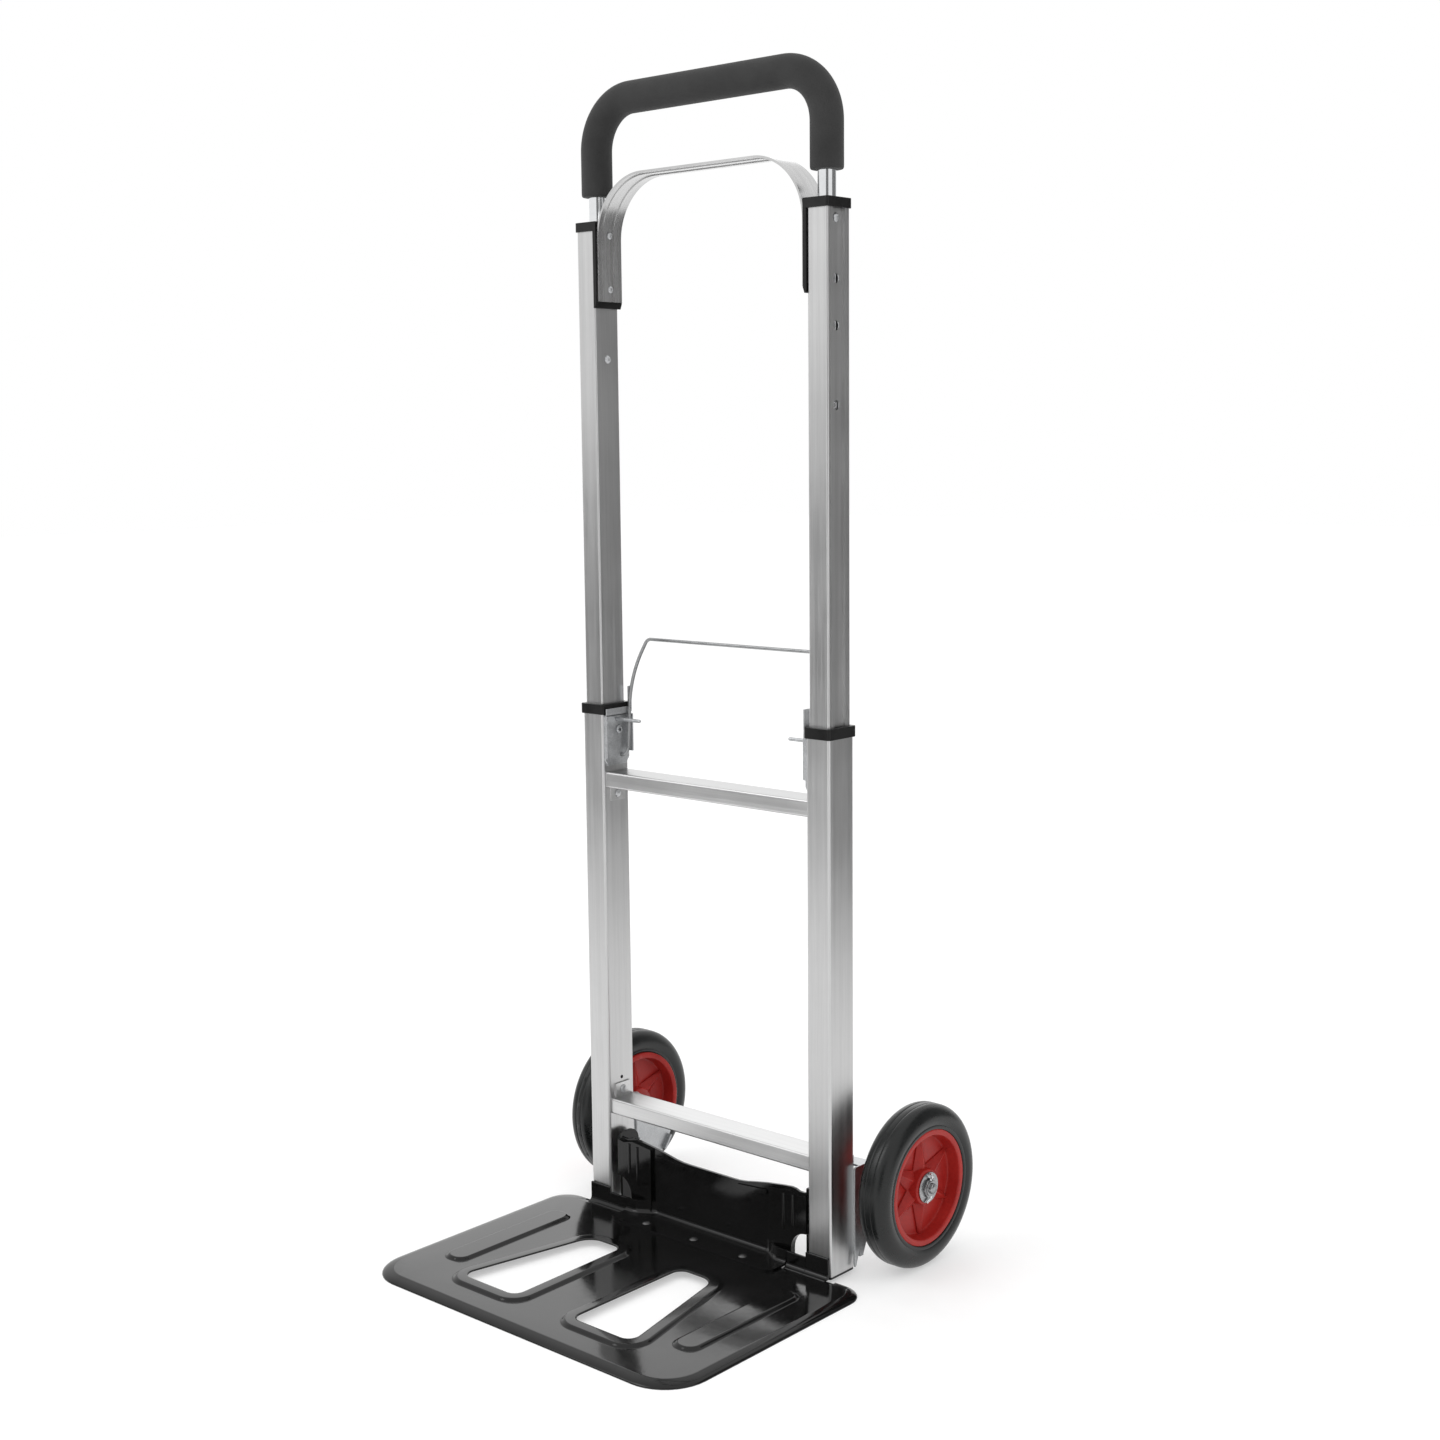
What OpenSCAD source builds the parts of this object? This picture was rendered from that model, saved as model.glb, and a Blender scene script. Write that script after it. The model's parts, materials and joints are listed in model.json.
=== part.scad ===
// Folding two-wheel hand truck: telescoping aluminium frame, pressed steel toe plate that
// folds up on the rails, and two wheels whose brackets fold flat behind the frame.
// Millimetres. +X right, +Y to the rear (wheels), +Z up. The toe plate points to -Y.
// The ground is Z = 0 and the origin is the bottom centre of the whole truck's box.

/* [Lower frame] */
// Width over the outer faces of the two lower rails
frame_w = 307; // [290:1:330]
// Width of a lower rail, across the truck
rail_w = 26.4; // [25:0.1:29]
// Depth of a lower rail, front to back
rail_d = 35.4; // [33:0.1:38]
// Wall of a lower rail
rail_wall = 1.5; // [1.2:0.1:1.8]
// Height of a lower rail's bottom end above the ground
rail_bottom = 5.2; // [5:0.1:8]
// Height of a lower rail's top end above the ground
rail_top = 510; // [495:1:530]
// Height of a crossbar's section
bar_h = 15.5; // [12:0.5:18]
// Wall of a crossbar
bar_wall = 1.5; // [1:0.1:2]
// Distance of a crossbar's front behind the rails' front
bar_setback = 3; // [2:0.5:5]
// Height of the lower crossbar's top face
lower_bar_top = 114.5; // [112:0.5:125]
// Height of the middle crossbar's top face
middle_bar_top = 445; // [425:1:446]
// Height of a crossbar's end tab
tab_h = 14; // [12:0.5:20]
// Height of a collar round the top of a lower rail
collar_h = 10; // [8:0.5:14]
// How far a collar stands out from its rail
collar_lip = 2; // [1.2:0.1:2.4]
// Thickness of the plug's sole under a lower rail
sole_t = 2.2; // [1.5:0.1:3]

/* [Middle stage] */
// Running gap between a middle rail and the lower rail round it
slide_gap = 0.5; // [0.4:0.05:0.7]
// Wall of a middle rail
mid_wall = 1.2; // [1:0.1:1.4]
// Depth of the channel in a middle rail's outer face
channel_depth = 3; // [2.5:0.1:3.4]
// Width of the channel in a middle rail's outer face
channel_w = 16.4; // [14:0.2:18]
// Length of middle rail that stays inside the lower rail
mid_overlap = 110; // [90:1:140]
// Height of a middle rail's top end
mid_top = 968; // [950:1:985]
// Height of a cap on a middle rail
cap_h = 8.5; // [7:0.5:12]
// How far a cap stands out from its rail
cap_lip = 1.6; // [1.2:0.1:2]
// Length of a cap's tongue below the cap
tongue_h = 70.5; // [66:0.5:76]
// Thickness of a cap's tongue
tongue_t = 3.6; // [3:0.1:4]
// Height of the handle button above the ground
button_z = 793.7; // [780:0.1:810]
// Distance from the button up to the middle lock hole
hole_step_1 = 68; // [60:1:72]
// Distance from the button up to the top lock hole
hole_step_2 = 108; // [96:1:112]
// Height of the stop studs on the middle rails' inner faces
stud_z = 842; // [835:1:850]
// Radius of a stop stud's head
stud_r = 4; // [3:0.5:5]

/* [Brace strap] */
// Thickness of the brace strap
strap_t = 2; // [1.6:0.1:2.5]
// Width of the brace strap, front to back
strap_w = 31; // [28:0.5:32]
// Height of the strap's crown above the caps' top
strap_rise = 41; // [38:1:50]
// Radius of the strap's bends at their inner face
strap_bend = 56; // [50:1:62]
// Height of the raised ribs along the strap
strap_rib = 0.8; // [0.5:0.1:1]
// Radius of the rivets' heads that hold the strap
strap_rivet_r = 3.6; // [3:0.1:4.5]

/* [Handle] */
// Height of the handle's crown, at its centre line, above the strap's crown
crown_rise = 70; // [62:0.5:80]
// Radius of the handle's bends at the centre line
handle_bend = 46; // [40:1:52]
// Wall of the handle tube
tube_wall = 1.2; // [1:0.1:1.5]
// Running gap between the handle tube and the middle rail
tube_gap = 0.35; // [0.3:0.05:0.5]
// Thickness of the foam grip
grip_t = 6.6; // [5:0.1:8]
// Length of the grip's sides below the crown's centre line
grip_drop = 87; // [76:0.5:92]
// Length of handle tube below the button
tube_tail = 24; // [20:1:30]
// Radius of a handle button
button_r = 3.8; // [3.4:0.1:4.2]
// Travel of a handle button
button_travel = 2.5; // [2:0.1:3]
// Length of the leaf spring behind a handle button
spring_l = 26; // [22:1:30]

/* [Toe plate] */
// Width of the toe plate
plate_w = 390; // [370:1:410]
// Distance from the rails' front to the toe plate's front edge
plate_reach = 260.4; // [250:0.1:290]
// Distance from the rails' front to the toe plate's rear corners
plate_tail = 2.5; // [1:0.1:3]
// Thickness of the plate's sheet
sheet_t = 2; // [1.6:0.1:2.5]
// Height of the sheet's top face above the ground
plate_h = 5; // [4.6:0.1:5]
// Width of the plate's downturned rim
rim_w = 2.5; // [2:0.1:4]
// Height of the pressed ribs above the sheet
rib_h = 3.5; // [2.5:0.1:4.5]
// Radius of the plate's front corners
front_corner_r = 43; // [35:1:50]
// Radius of the plate's rear corners
rear_corner_r = 12; // [8:1:15]
// Distance from the plate's front edge to the holes
hole_front = 45.4; // [42:0.2:50]
// Where the holes' rear edge lies behind the rails' front, negative in front of it
hole_back = -77; // [-85:1:-70]
// Distance from the centre plane to a hole
hole_inner = 36; // [34:0.5:45]
// Width of a hole at the front
hole_wide = 76; // [65:0.5:80]
// Width of a hole at the rear
hole_narrow = 39.5; // [38.5:0.5:50]
// Width of the raised rim round each hole
hole_rim_w = 15; // [12:0.5:16]
// Height of the stop flanges in front of the rails
stop_h = 24; // [20:0.5:27]
// Gap between the stop flanges and the rails
stop_gap = 0.5; // [0.3:0.1:0.8]

/* [Hinge bracket] */
// Height of the toe plate's hinge pins above the ground
hinge_z = 50; // [48:0.5:54]
// Thickness of the hinge bracket's sheet
bracket_t = 2.5; // [2:0.1:3]
// Height of the bracket's wall between its end boxes
wall_top = 67.6; // [66:0.2:72]
// Height of the bracket's end boxes
box_top = 80; // [77:0.5:83]
// Height of the end boxes' lower edge at the rails
box_bottom = 37; // [34:0.5:39]
// Width of an end box
box_w = 45; // [42:0.5:48]
// Gap between an end box and its rail, which the hinge bush fills
box_gap = 6; // [5:0.2:7]
// Radius of the hinge pins
hinge_pin_r = 4; // [3.5:0.1:4.5]
// Radius of the toe plate rivets' heads
plate_rivet_r = 4.5; // [4:0.1:5.5]

/* [Wheels] */
// Outer radius of a tyre
tyre_r = 76.7; // [74:0.1:80]
// Width of a tyre
tyre_w = 34.3; // [32:0.1:36]
// Gap between a lower rail's outer face and the tyre beside it
wheel_gap = 13.5; // [13:0.1:16]
// Radius of a tyre's shoulders
shoulder_r = 11.5; // [8:0.5:13]
// Outer radius of a wheel's rim
rim_r = 54.6; // [52:0.1:56]
// Thickness of the rim's outer ring
rim_t = 6; // [5:0.2:8]
// Radius of a wheel's hub
hub_r = 17; // [15:0.5:20]
// Radius of an axle's shank
axle_r = 5; // [4.5:0.1:5.5]
// Radius of the washer under an axle's nut
washer_r = 13; // [11:0.5:14]
// Thickness of the bearing bush's wall
bush_t = 2.5; // [2:0.1:3]
// Distance of the axles behind the rails' front
axle_back = 89.4; // [88:0.1:94]
// Thickness of the wheel brackets' sheet
wheel_bracket_t = 2; // [1.6:0.1:2.5]
// Height of a wheel bracket's top face
wheel_bracket_top = 102.6; // [101:0.1:106]
// Height of a wheel bracket's lower flange
wheel_bracket_low = 15; // [13:0.5:20]
// Radius of the wheel brackets' pivot pins
pivot_r = 3; // [2.6:0.1:3.4]
// Distance of the pivot pins inside the lower rails' outer faces
pivot_inset = 17.5; // [14.5:0.5:18.5]
// Distance of the pivot pins behind the lower rails
pivot_back = 10.6; // [10.4:0.1:12]

/* [Release bail] */
// Diameter of the bail's wire
wire_d = 3; // [2.5:0.1:3.4]
// Height of the bail's pivot above the ground
bail_z = 460; // [458:0.5:464]
// Radius of a lock pin
lock_r = 1.7; // [1.4:0.1:2]
// Length of a lock pin
lock_len = 34; // [28:1:40]
// Height of the lock pins above the ground
lock_z = 496; // [495:0.1:497]

/* [Hidden] */
$fn = 48;
eps = 0.01;
arc_steps = 10;         // flats that a rounded outline corner is drawn with

aluminium = [0.78, 0.79, 0.80];
zinc = [0.72, 0.73, 0.74];
chrome = [0.86, 0.87, 0.88];
black_paint = [0.06, 0.06, 0.065];
black_plastic = [0.09, 0.09, 0.095];
foam = [0.22, 0.23, 0.24];
red_plastic = [0.72, 0.10, 0.08];
rubber = [0.13, 0.14, 0.14];

fit_gap = 0.3;          // gap between pieces that move past each other
run_gap = 0.05;         // radial running clearance of pins and shafts
screw_r = 2;            // shank of the small rivets and screws

// Where the rails' front face lies when the truck's box is centred on Y = 0
rail_front = (plate_reach - axle_back - tyre_r) / 2;

rail_out = frame_w / 2;                       // a lower rail's outer face
rail_in = rail_out - rail_w;                  // a lower rail's inner face
rail_x = (rail_out + rail_in) / 2;
rail_y = rail_d / 2;                          // centre of every rail, front to back

mid_w = rail_w - 2 * (rail_wall + slide_gap);
mid_d = rail_d - 2 * (rail_wall + slide_gap);
mid_in = rail_x - mid_w / 2;                  // a middle rail's inner face
mid_out = rail_x + mid_w / 2;
mid_bottom = rail_top - mid_overlap;
floor_out = mid_out - channel_depth;          // outer face of the channel's floor
floor_in = floor_out - mid_wall;              // inner face of the channel's floor
cap_top = mid_top + 1.6;

tube_r = (floor_in - mid_in - mid_wall) / 2 - tube_gap;
tube_x = (floor_in + mid_in + mid_wall) / 2;
grip_r = tube_r + grip_t;
tube_bottom = button_z - tube_tail;

strap_out = mid_in - tongue_t;                // outer face of the strap's legs
strap_in = strap_out - strap_t;
strap_bottom = cap_top - cap_h - tongue_h + 5;
rivet_top_z = cap_top - 12.6;
rivet_low_z = strap_bottom + 11.5;

crown_z = cap_top + strap_rise + crown_rise;  // centre line of the handle's crown
grip_bottom = crown_z - grip_drop;

bar_d = rail_d - bar_setback - 2;
bar_y = bar_setback + bar_d / 2;

plate_under = plate_h - sheet_t;
wall_y = 8;                                   // front of the hinge bracket's wall
box_front = 4.5;                              // front of the end boxes
box_out = rail_in - box_gap;
box_in = box_out - box_w;
box_back = rail_d - 3;
ear_low = plate_h + 3;                        // bottom of the bracket's end ears
bracket_reach = plate_reach * 0.1075;         // reach of the bracket's floor to the front
plate_rivet_x = plate_w * 0.159;
plate_rivet_y = -bracket_reach * 0.6;
hinge_y = rail_y;

tyre_in = rail_out + wheel_gap;
tyre_out = tyre_in + tyre_w;
axle_z = tyre_r;
side_x = tyre_in - 9;                         // outer face of a wheel bracket's side plate
hub_in = side_x + 2.2;
hub_out = tyre_out - 7;
pivot_x = rail_out - pivot_inset;
pivot_y = rail_d + pivot_back;
lug_rivet_z = [wheel_bracket_low + 20, wheel_bracket_top - 22.6];
lug_r = pivot_r + 3.5;
lug_top = wheel_bracket_top + 0.5;
lug_low = wheel_bracket_low - 0.5;
lug_t = 2.5;

bracket_x = rail_in - 2;                      // inner face of a bail bracket's plate
bail_y = 24;
bail_x = bracket_x - 4.6;                     // centre line of the bail's legs
wire_r = wire_d / 2;
bail_jog = [4.8, 6];                          // step back above the pivot: [back, up]
bail_lean = 3.5;                              // lean of the bail's straight leg, degrees
bail_leg = 41;                                // length of the straight leg
bail_curve_r = 103;                           // radius of the leg's backward curve
bail_curve = 32.5;                            // angle of that curve, degrees
bail_corner = 8;                              // radius of the corner into the top bar
bail_end = 4;                                 // straight length between curve and corner

// ---------- helpers ----------

// Moves a shape built from the rails' front face into the truck's own frame
module in_frame() { translate([0, rail_front, 0]) children(); }

// Side 1 is the right, side -1 the left, which mirrors the right
module side(s) { mirror([s < 0 ? 1 : 0, 0, 0]) children(); }

module both_sides() { side(1) children(); side(-1) children(); }

// Rectangle round its centre with round corners
module round_rect(w, d, r) {
    square([w - 2 * r, d], center = true);
    square([w, d - 2 * r], center = true);
    for (x = [-1, 1], y = [-1, 1]) translate([x * (w / 2 - r), y * (d / 2 - r)]) circle(r);
}

// A corner's half angle between the two edges that meet there
function half_angle(p, q, s) =
    let (u = (p - q) / norm(p - q), v = (s - q) / norm(s - q)) acos(u * v) / 2;
// Centre of the arc of radius r that rounds corner q
function arc_centre(p, q, s, r) =
    let (u = (p - q) / norm(p - q), v = (s - q) / norm(s - q), b = (u + v) / norm(u + v))
    q + b * r / sin(half_angle(p, q, s));
// Where that arc meets the edge from q towards p
function arc_end(p, q, s, r) = q + (p - q) / norm(p - q) * r / tan(half_angle(p, q, s));

// Points of the arc that rounds corner q, from the side of p to the side of s
function corner_arc(p, q, s, r) =
    let (c = arc_centre(p, q, s, r), a = arc_end(p, q, s, r) - c, b = arc_end(s, q, p, r) - c,
        start = atan2(a[1], a[0]), turn = atan2(a[0] * b[1] - a[1] * b[0], a * b))
    [for (i = [0:arc_steps]) let (t = start + turn * i / arc_steps) c + r * [cos(t), sin(t)]];

// Polygon with its own radius at each corner
module round_poly(pts, radii) {
    n = len(pts);
    polygon([for (i = [0:n - 1])
        each corner_arc(pts[(i + n - 1) % n], pts[i], pts[(i + 1) % n], radii[i])]);
}

// Cylinder along +X from x0 to x1
module x_rod(r, x0, x1, y, z) {
    translate([x0, y, z]) rotate([0, 90, 0]) cylinder(r = r, h = x1 - x0);
}

// Rod from a to b that stops just short of both points, where a ball joins it to the next
module rod_between(a, b, r) {
    v = b - a;
    short = 0.3;
    translate(a + v * short / norm(v)) rotate([0, acos(v[2] / norm(v)), atan2(v[1], v[0])])
        cylinder(r = r, h = norm(v) - 2 * short);
}

// Ball that joins two rods of radius r
module joint_ball(p, r) { translate(p) sphere(r = r * 1.05, $fn = 32); }

// Domed rivet head whose flat face is at the origin, standing up along +Z
module dome(r, h) {
    ball = (r * r + h * h) / (2 * h);
    intersection() {
        translate([0, 0, h - ball]) sphere(r = ball);
        cylinder(r = r + 1, h = h + 1);
    }
}

// Upright plate standing in the YZ plane from x0, thickness t, drawn as [y, z]
module yz_plate(x0, t) {
    translate([x0, 0, 0]) rotate([90, 0, 90]) linear_extrude(t) children();
}

// ---------- lower frame ----------

module lower_rail_shape() {
    difference() {
        translate([rail_x, rail_y, rail_bottom]) linear_extrude(rail_top - rail_bottom) difference() {
            round_rect(rail_w, rail_d, 2.5);
            round_rect(rail_w - 2 * rail_wall, rail_d - 2 * rail_wall, 1);
        }
        // hinge pin, lock pin and crossbar rivet holes in the inner wall
        x_rod(hinge_pin_r, rail_in - 1, rail_in + rail_wall + 1, hinge_y, hinge_z);
        x_rod(lock_r + run_gap, rail_in - 1, rail_in + rail_wall + 1, rail_y, lock_z);
        for (z = [lower_bar_top + tab_h / 2, middle_bar_top - bar_h - tab_h / 2])
            x_rod(screw_r, rail_in - 1, rail_in + rail_wall + 1, bar_y, z);
        // spare hole above the lower crossbar's tab
        x_rod(1.8, rail_in - 1, rail_in + rail_wall + 1, bar_y, lower_bar_top + tab_h + 5);
    }
}
module left_lower_rail() { color(aluminium) in_frame() side(-1) lower_rail_shape(); }
module right_lower_rail() { color(aluminium) in_frame() side(1) lower_rail_shape(); }

// Hollow bar between the rails, with an end tab on each side that stands up or hangs down
module crossbar_shape(top, tab_up) {
    tab_z = tab_up ? top - eps : top - bar_h - tab_h + eps;
    translate([-rail_in, 0, top - bar_h]) rotate([90, 0, 90]) linear_extrude(2 * rail_in) difference() {
        translate([bar_y, bar_h / 2]) round_rect(bar_d, bar_h, 2);
        translate([bar_y, bar_h / 2]) round_rect(bar_d - 2 * bar_wall, bar_h - 2 * bar_wall, 0.6);
    }
    both_sides() difference() {
        translate([rail_in - 1.6, bar_y - 10, tab_z]) cube([1.6, 20, tab_h]);
        x_rod(screw_r, rail_in - 3, rail_in + 1, bar_y, tab_z + tab_h / 2);
    }
}
module lower_crossbar() { color(aluminium) in_frame() crossbar_shape(lower_bar_top, true); }
module middle_crossbar() { color(aluminium) in_frame() crossbar_shape(middle_bar_top, false); }

module crossbar_rivets() {
    color(zinc) in_frame() both_sides()
        for (z = [lower_bar_top + tab_h / 2, middle_bar_top - bar_h - tab_h / 2]) {
            x_rod(screw_r, rail_in - 1.6, rail_in + rail_wall, bar_y, z);
            translate([rail_in - 1.6, bar_y, z]) rotate([0, -90, 0]) dome(4.2, 2);
        }
}

// Plastic ring round the rail's top end, with a lip over the end that guides the middle rail
module collar_shape() {
    difference() {
        translate([rail_x, rail_y, rail_top + 1.6 - collar_h]) linear_extrude(collar_h)
            round_rect(rail_w + 2 * collar_lip, rail_d + 2 * collar_lip, 3.5);
        translate([rail_x, rail_y, rail_top - collar_h]) linear_extrude(collar_h)
            round_rect(rail_w, rail_d, 2.5);
        translate([rail_x, rail_y, rail_top - 1]) linear_extrude(collar_h)
            round_rect(mid_w + 2 * fit_gap, mid_d + 2 * fit_gap, 2.2);
    }
}
module left_collar() { color(black_plastic) in_frame() side(-1) collar_shape(); }
module right_collar() { color(black_plastic) in_frame() side(1) collar_shape(); }

module rail_foot_plugs() {
    color(black_plastic) in_frame() both_sides() {
        translate([rail_x, rail_y, rail_bottom - sole_t]) linear_extrude(sole_t)
            round_rect(rail_w, rail_d, 2.5);
        translate([rail_x, rail_y, rail_bottom - eps]) linear_extrude(14)
            round_rect(rail_w - 2 * rail_wall - 0.2, rail_d - 2 * rail_wall - 0.2, 1);
    }
}

// Plate on the rail's inner face that carries the bail's pivot and the lock pin. Its upper
// tab reaches past the collar, and a lip along its rear edge stops the bail.
module bail_bracket_shape() {
    top = rail_top + 1.6 - collar_h - 0.5;
    tab_x = rail_in - collar_lip - 0.7;
    difference() {
        union() {
            yz_plate(bracket_x, 2) polygon([[1.5, top - 44], [5, top - 50], [rail_d - 5, top - 50],
                [rail_d - 0.5, top - 44], [rail_d - 0.5, top], [1.5, top]]);
            translate([tab_x - 1.6, 1.5, top - 1.6]) cube([bracket_x + 2 - tab_x + 1.6, rail_d - 2, 1.6]);
            translate([tab_x - 1.6, 10, top - 1.6]) cube([1.6, 17, 28]);
            translate([bracket_x - 2.5, 1.5, top - 44]) cube([2.5 + eps, 1.6, 44]);
            translate([bail_x - 1, 33.5, top - 34]) cube([bracket_x + 1 - bail_x, 1.4, 34]);
        }
        x_rod(wire_r + run_gap, rail_in - 10, rail_in + 1, bail_y, bail_z);
        x_rod(lock_r + run_gap, rail_in - 10, rail_in + 1, rail_y, lock_z);
        x_rod(2.6, rail_in - 10, rail_in + 1, rail_y + 3, lock_z - 10.5);
    }
}
module left_bail_bracket() { color(zinc) in_frame() side(-1) bail_bracket_shape(); }
module right_bail_bracket() { color(zinc) in_frame() side(1) bail_bracket_shape(); }

// Tubular rivets, one in each bail bracket
module bail_bracket_rivets() {
    color(chrome) in_frame() both_sides() translate([bracket_x, rail_y + 3, lock_z - 10.5])
        rotate([0, -90, 0]) rotate_extrude()
            polygon([[1.5, -2], [2.6, -2], [2.6, 0], [4.6, 0], [4.2, 1.3], [2.6, 2], [1.5, 1.6]]);
}

// Bracket riveted to the rail's rear face, with a lug above and below the wheel bracket
module pivot_lugs_shape() {
    wide = 22;
    x0 = rail_x - wide / 2;
    difference() {
        union() {
            translate([x0, rail_d, lug_low - lug_t - 6]) cube([wide, 2, lug_top - lug_low + 2 * lug_t + 12]);
            for (z = [lug_low - lug_t, lug_top]) translate([0, 0, z]) linear_extrude(lug_t) {
                translate([pivot_x, pivot_y]) circle(lug_r);
                polygon([[pivot_x - lug_r, pivot_y], [pivot_x + lug_r, pivot_y],
                    [pivot_x + lug_r + 4, rail_d], [x0, rail_d]]);
            }
        }
        for (z = [lug_low - lug_t - 1, lug_top - 1]) translate([pivot_x, pivot_y, z])
            cylinder(r = pivot_r + run_gap, h = lug_t + 2);
        for (z = lug_rivet_z) translate([rail_x + 4, rail_d - 1, z]) rotate([-90, 0, 0])
            cylinder(r = screw_r, h = 4);
    }
}
module left_pivot_lugs() { color(zinc) in_frame() side(-1) pivot_lugs_shape(); }
module right_pivot_lugs() { color(zinc) in_frame() side(1) pivot_lugs_shape(); }

module pivot_lug_rivets() {
    color(zinc) in_frame() both_sides() for (z = lug_rivet_z) {
        translate([rail_x + 4, rail_d, z]) rotate([-90, 0, 0]) cylinder(r = screw_r, h = 2);
        translate([rail_x + 4, rail_d + 2, z]) rotate([-90, 0, 0]) dome(3.6, 1.6);
    }
}

// Upright pins that the wheel brackets turn on, with a head above the upper lug
module wheel_pivot_pins() {
    low = lug_low - lug_t - 3;
    color(zinc) in_frame() both_sides() translate([pivot_x, pivot_y, 0]) {
        translate([0, 0, low]) cylinder(r = pivot_r, h = lug_top + lug_t - low);
        translate([0, 0, lug_top + lug_t]) cylinder(r1 = pivot_r + 1.8, r2 = pivot_r + 0.8, h = 2);
    }
}

// Coil springs round the pivot pins
module wheel_fold_springs() {
    coil_r = pivot_r + 1.3;
    pitch = 1.7;
    color(zinc) in_frame() both_sides() translate([pivot_x, pivot_y, 50]) {
        for (i = [0:5]) translate([0, 0, i * pitch]) rotate_extrude()
            translate([coil_r, 0]) circle(0.9, $fn = 16);
        // tail that bears on the lug bracket's plate
        translate([coil_r - 0.2, 0, 0]) rotate([90, 0, 0]) cylinder(r = 0.8, h = pivot_back - 2.05, $fn = 16);
    }
}

// Pins pressed through the rails' inner walls that the toe plate turns on
module toe_plate_hinge_pins() {
    color(zinc) in_frame() both_sides() {
        x_rod(hinge_pin_r, box_in - 3, rail_in + rail_wall, hinge_y, hinge_z);
        x_rod(hinge_pin_r + 1.5, box_in - 4.5, box_in - 3, hinge_y, hinge_z);
    }
}

// ---------- toe plate ----------

module plate_outline(inset) {
    w = plate_w / 2 - inset;
    front = -plate_reach + inset;
    back = plate_tail - inset;
    round_poly([[-w, front], [w, front], [w, back], [-w, back]],
        [front_corner_r - inset, front_corner_r - inset, rear_corner_r - inset, rear_corner_r - inset]);
}

// Notches that keep the rear edge clear of the rails, widened by grow
module rail_notches(grow) {
    both_sides() translate([rail_in - 3 - grow, -stop_gap - grow])
        square([rail_w + 6 + 2 * grow, 10]);
}

// Outline of the hole on the right, grown outwards by grow
module hole_outline(grow) {
    front = -plate_reach + hole_front - grow;
    back = hole_back + grow;
    inner = hole_inner - grow;
    round_poly([[inner, front], [inner + hole_wide + 2 * grow, front], [inner + hole_narrow + 2 * grow, back],
        [inner + 2, back]], [10 + grow, 10 + grow, 17 + grow, 10 + grow]);
}

// Raised elongated rib beside the hole, in two steps
module side_rib() {
    half = 15.5;
    step = 4;
    front = -plate_reach + 63;
    back = -45;
    for (i = [0, 1]) translate([plate_w / 2 - 49, (front + back) / 2, plate_h - eps])
        linear_extrude(rib_h * (i + 1) / 2)
            round_rect(2 * (half - i * step), back - front - 2 * i * step, half - i * step - 1);
}

module toe_plate() {
    flange_y = -stop_gap - bracket_t;
    floor_x = box_in + box_w * 0.6;
    color(black_paint) in_frame() difference() {
        union() {
            linear_extrude(plate_h) difference() {
                plate_outline(0);
                plate_outline(rim_w);
            }
            translate([0, 0, plate_under]) linear_extrude(sheet_t) plate_outline(0);
            both_sides() {
                for (i = [0, 1]) translate([0, 0, plate_h - eps]) linear_extrude(rib_h * (i + 1) / 2)
                    difference() {
                        hole_outline(hole_rim_w * (1 - 0.25 * i));
                        hole_outline(hole_rim_w * 0.25 * i - eps);
                    }
                side_rib();
                // stop flange that bears on the rail's front face
                translate([rail_in - 1, flange_y, plate_under]) cube([rail_w, bracket_t, stop_h - plate_under]);
                translate([floor_x + fit_gap, flange_y, plate_under])
                    cube([rail_in - floor_x - fit_gap, bracket_t, 19 - plate_under]);
            }
        }
        both_sides() {
            translate([0, 0, -1]) linear_extrude(plate_h + rib_h + 2) hole_outline(0);
        }
        translate([0, 0, -1]) linear_extrude(plate_h + rib_h) rail_notches(0);
        for (x = [-1, 0, 1] * plate_rivet_x) translate([x, plate_rivet_y, 0]) cylinder(r = screw_r, h = 20);
    }
}

// Pressed bracket on the plate's rear part: a floor flange, a wall between the rails and a
// box at each end that the hinge pin passes through
module hinge_bracket() {
    floor_x = box_in + box_w * 0.6;
    corner_r = box_out - floor_x;
    corner = [for (a = [180:-15:90]) [box_out, box_bottom - corner_r] + corner_r * [cos(a), sin(a)]];
    half = concat([[floor_x, plate_h]], corner,
        [[box_out, box_top], [box_in, box_top], [box_in - 13, wall_top]]);
    wall = concat(half, [for (i = [len(half) - 1:-1:0]) [-half[i][0], half[i][1]]]);
    panel = concat([[box_in, plate_h + 1], [floor_x, plate_h + 1]], corner,
        [[box_out, box_top - 2], [box_in, box_top - 2]]);
    color(black_paint) in_frame() difference() {
        union() {
            translate([-floor_x, -bracket_reach, plate_h])
                cube([2 * floor_x, wall_y + bracket_t + bracket_reach, 2]);
            translate([0, wall_y + bracket_t, 0]) rotate([90, 0, 0]) linear_extrude(bracket_t) polygon(wall);
            both_sides() {
                // raised front panel with two upright beads
                translate([0, wall_y + eps, 0]) rotate([90, 0, 0])
                    linear_extrude(wall_y - box_front + eps) polygon(panel);
                for (x = [box_in + 14, box_in + 21]) translate([x, box_front + 0.4, box_bottom + 3])
                    cylinder(r = 1.6, h = box_top - box_bottom - 8, $fn = 24);
                // end ear and lower inner ear with the pin holes
                translate([box_out - bracket_t, wall_y, ear_low])
                    cube([bracket_t, box_back - wall_y, box_top - ear_low]);
                translate([box_in, wall_y, box_bottom])
                    cube([bracket_t, box_back - wall_y, hinge_z + 12 - box_bottom]);
            }
        }
        both_sides() x_rod(hinge_pin_r + run_gap, box_in - 1, box_out + 1, hinge_y, hinge_z);
        for (x = [-1, 0, 1] * plate_rivet_x) translate([x, plate_rivet_y, 0]) cylinder(r = screw_r, h = 20);
    }
}

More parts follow.
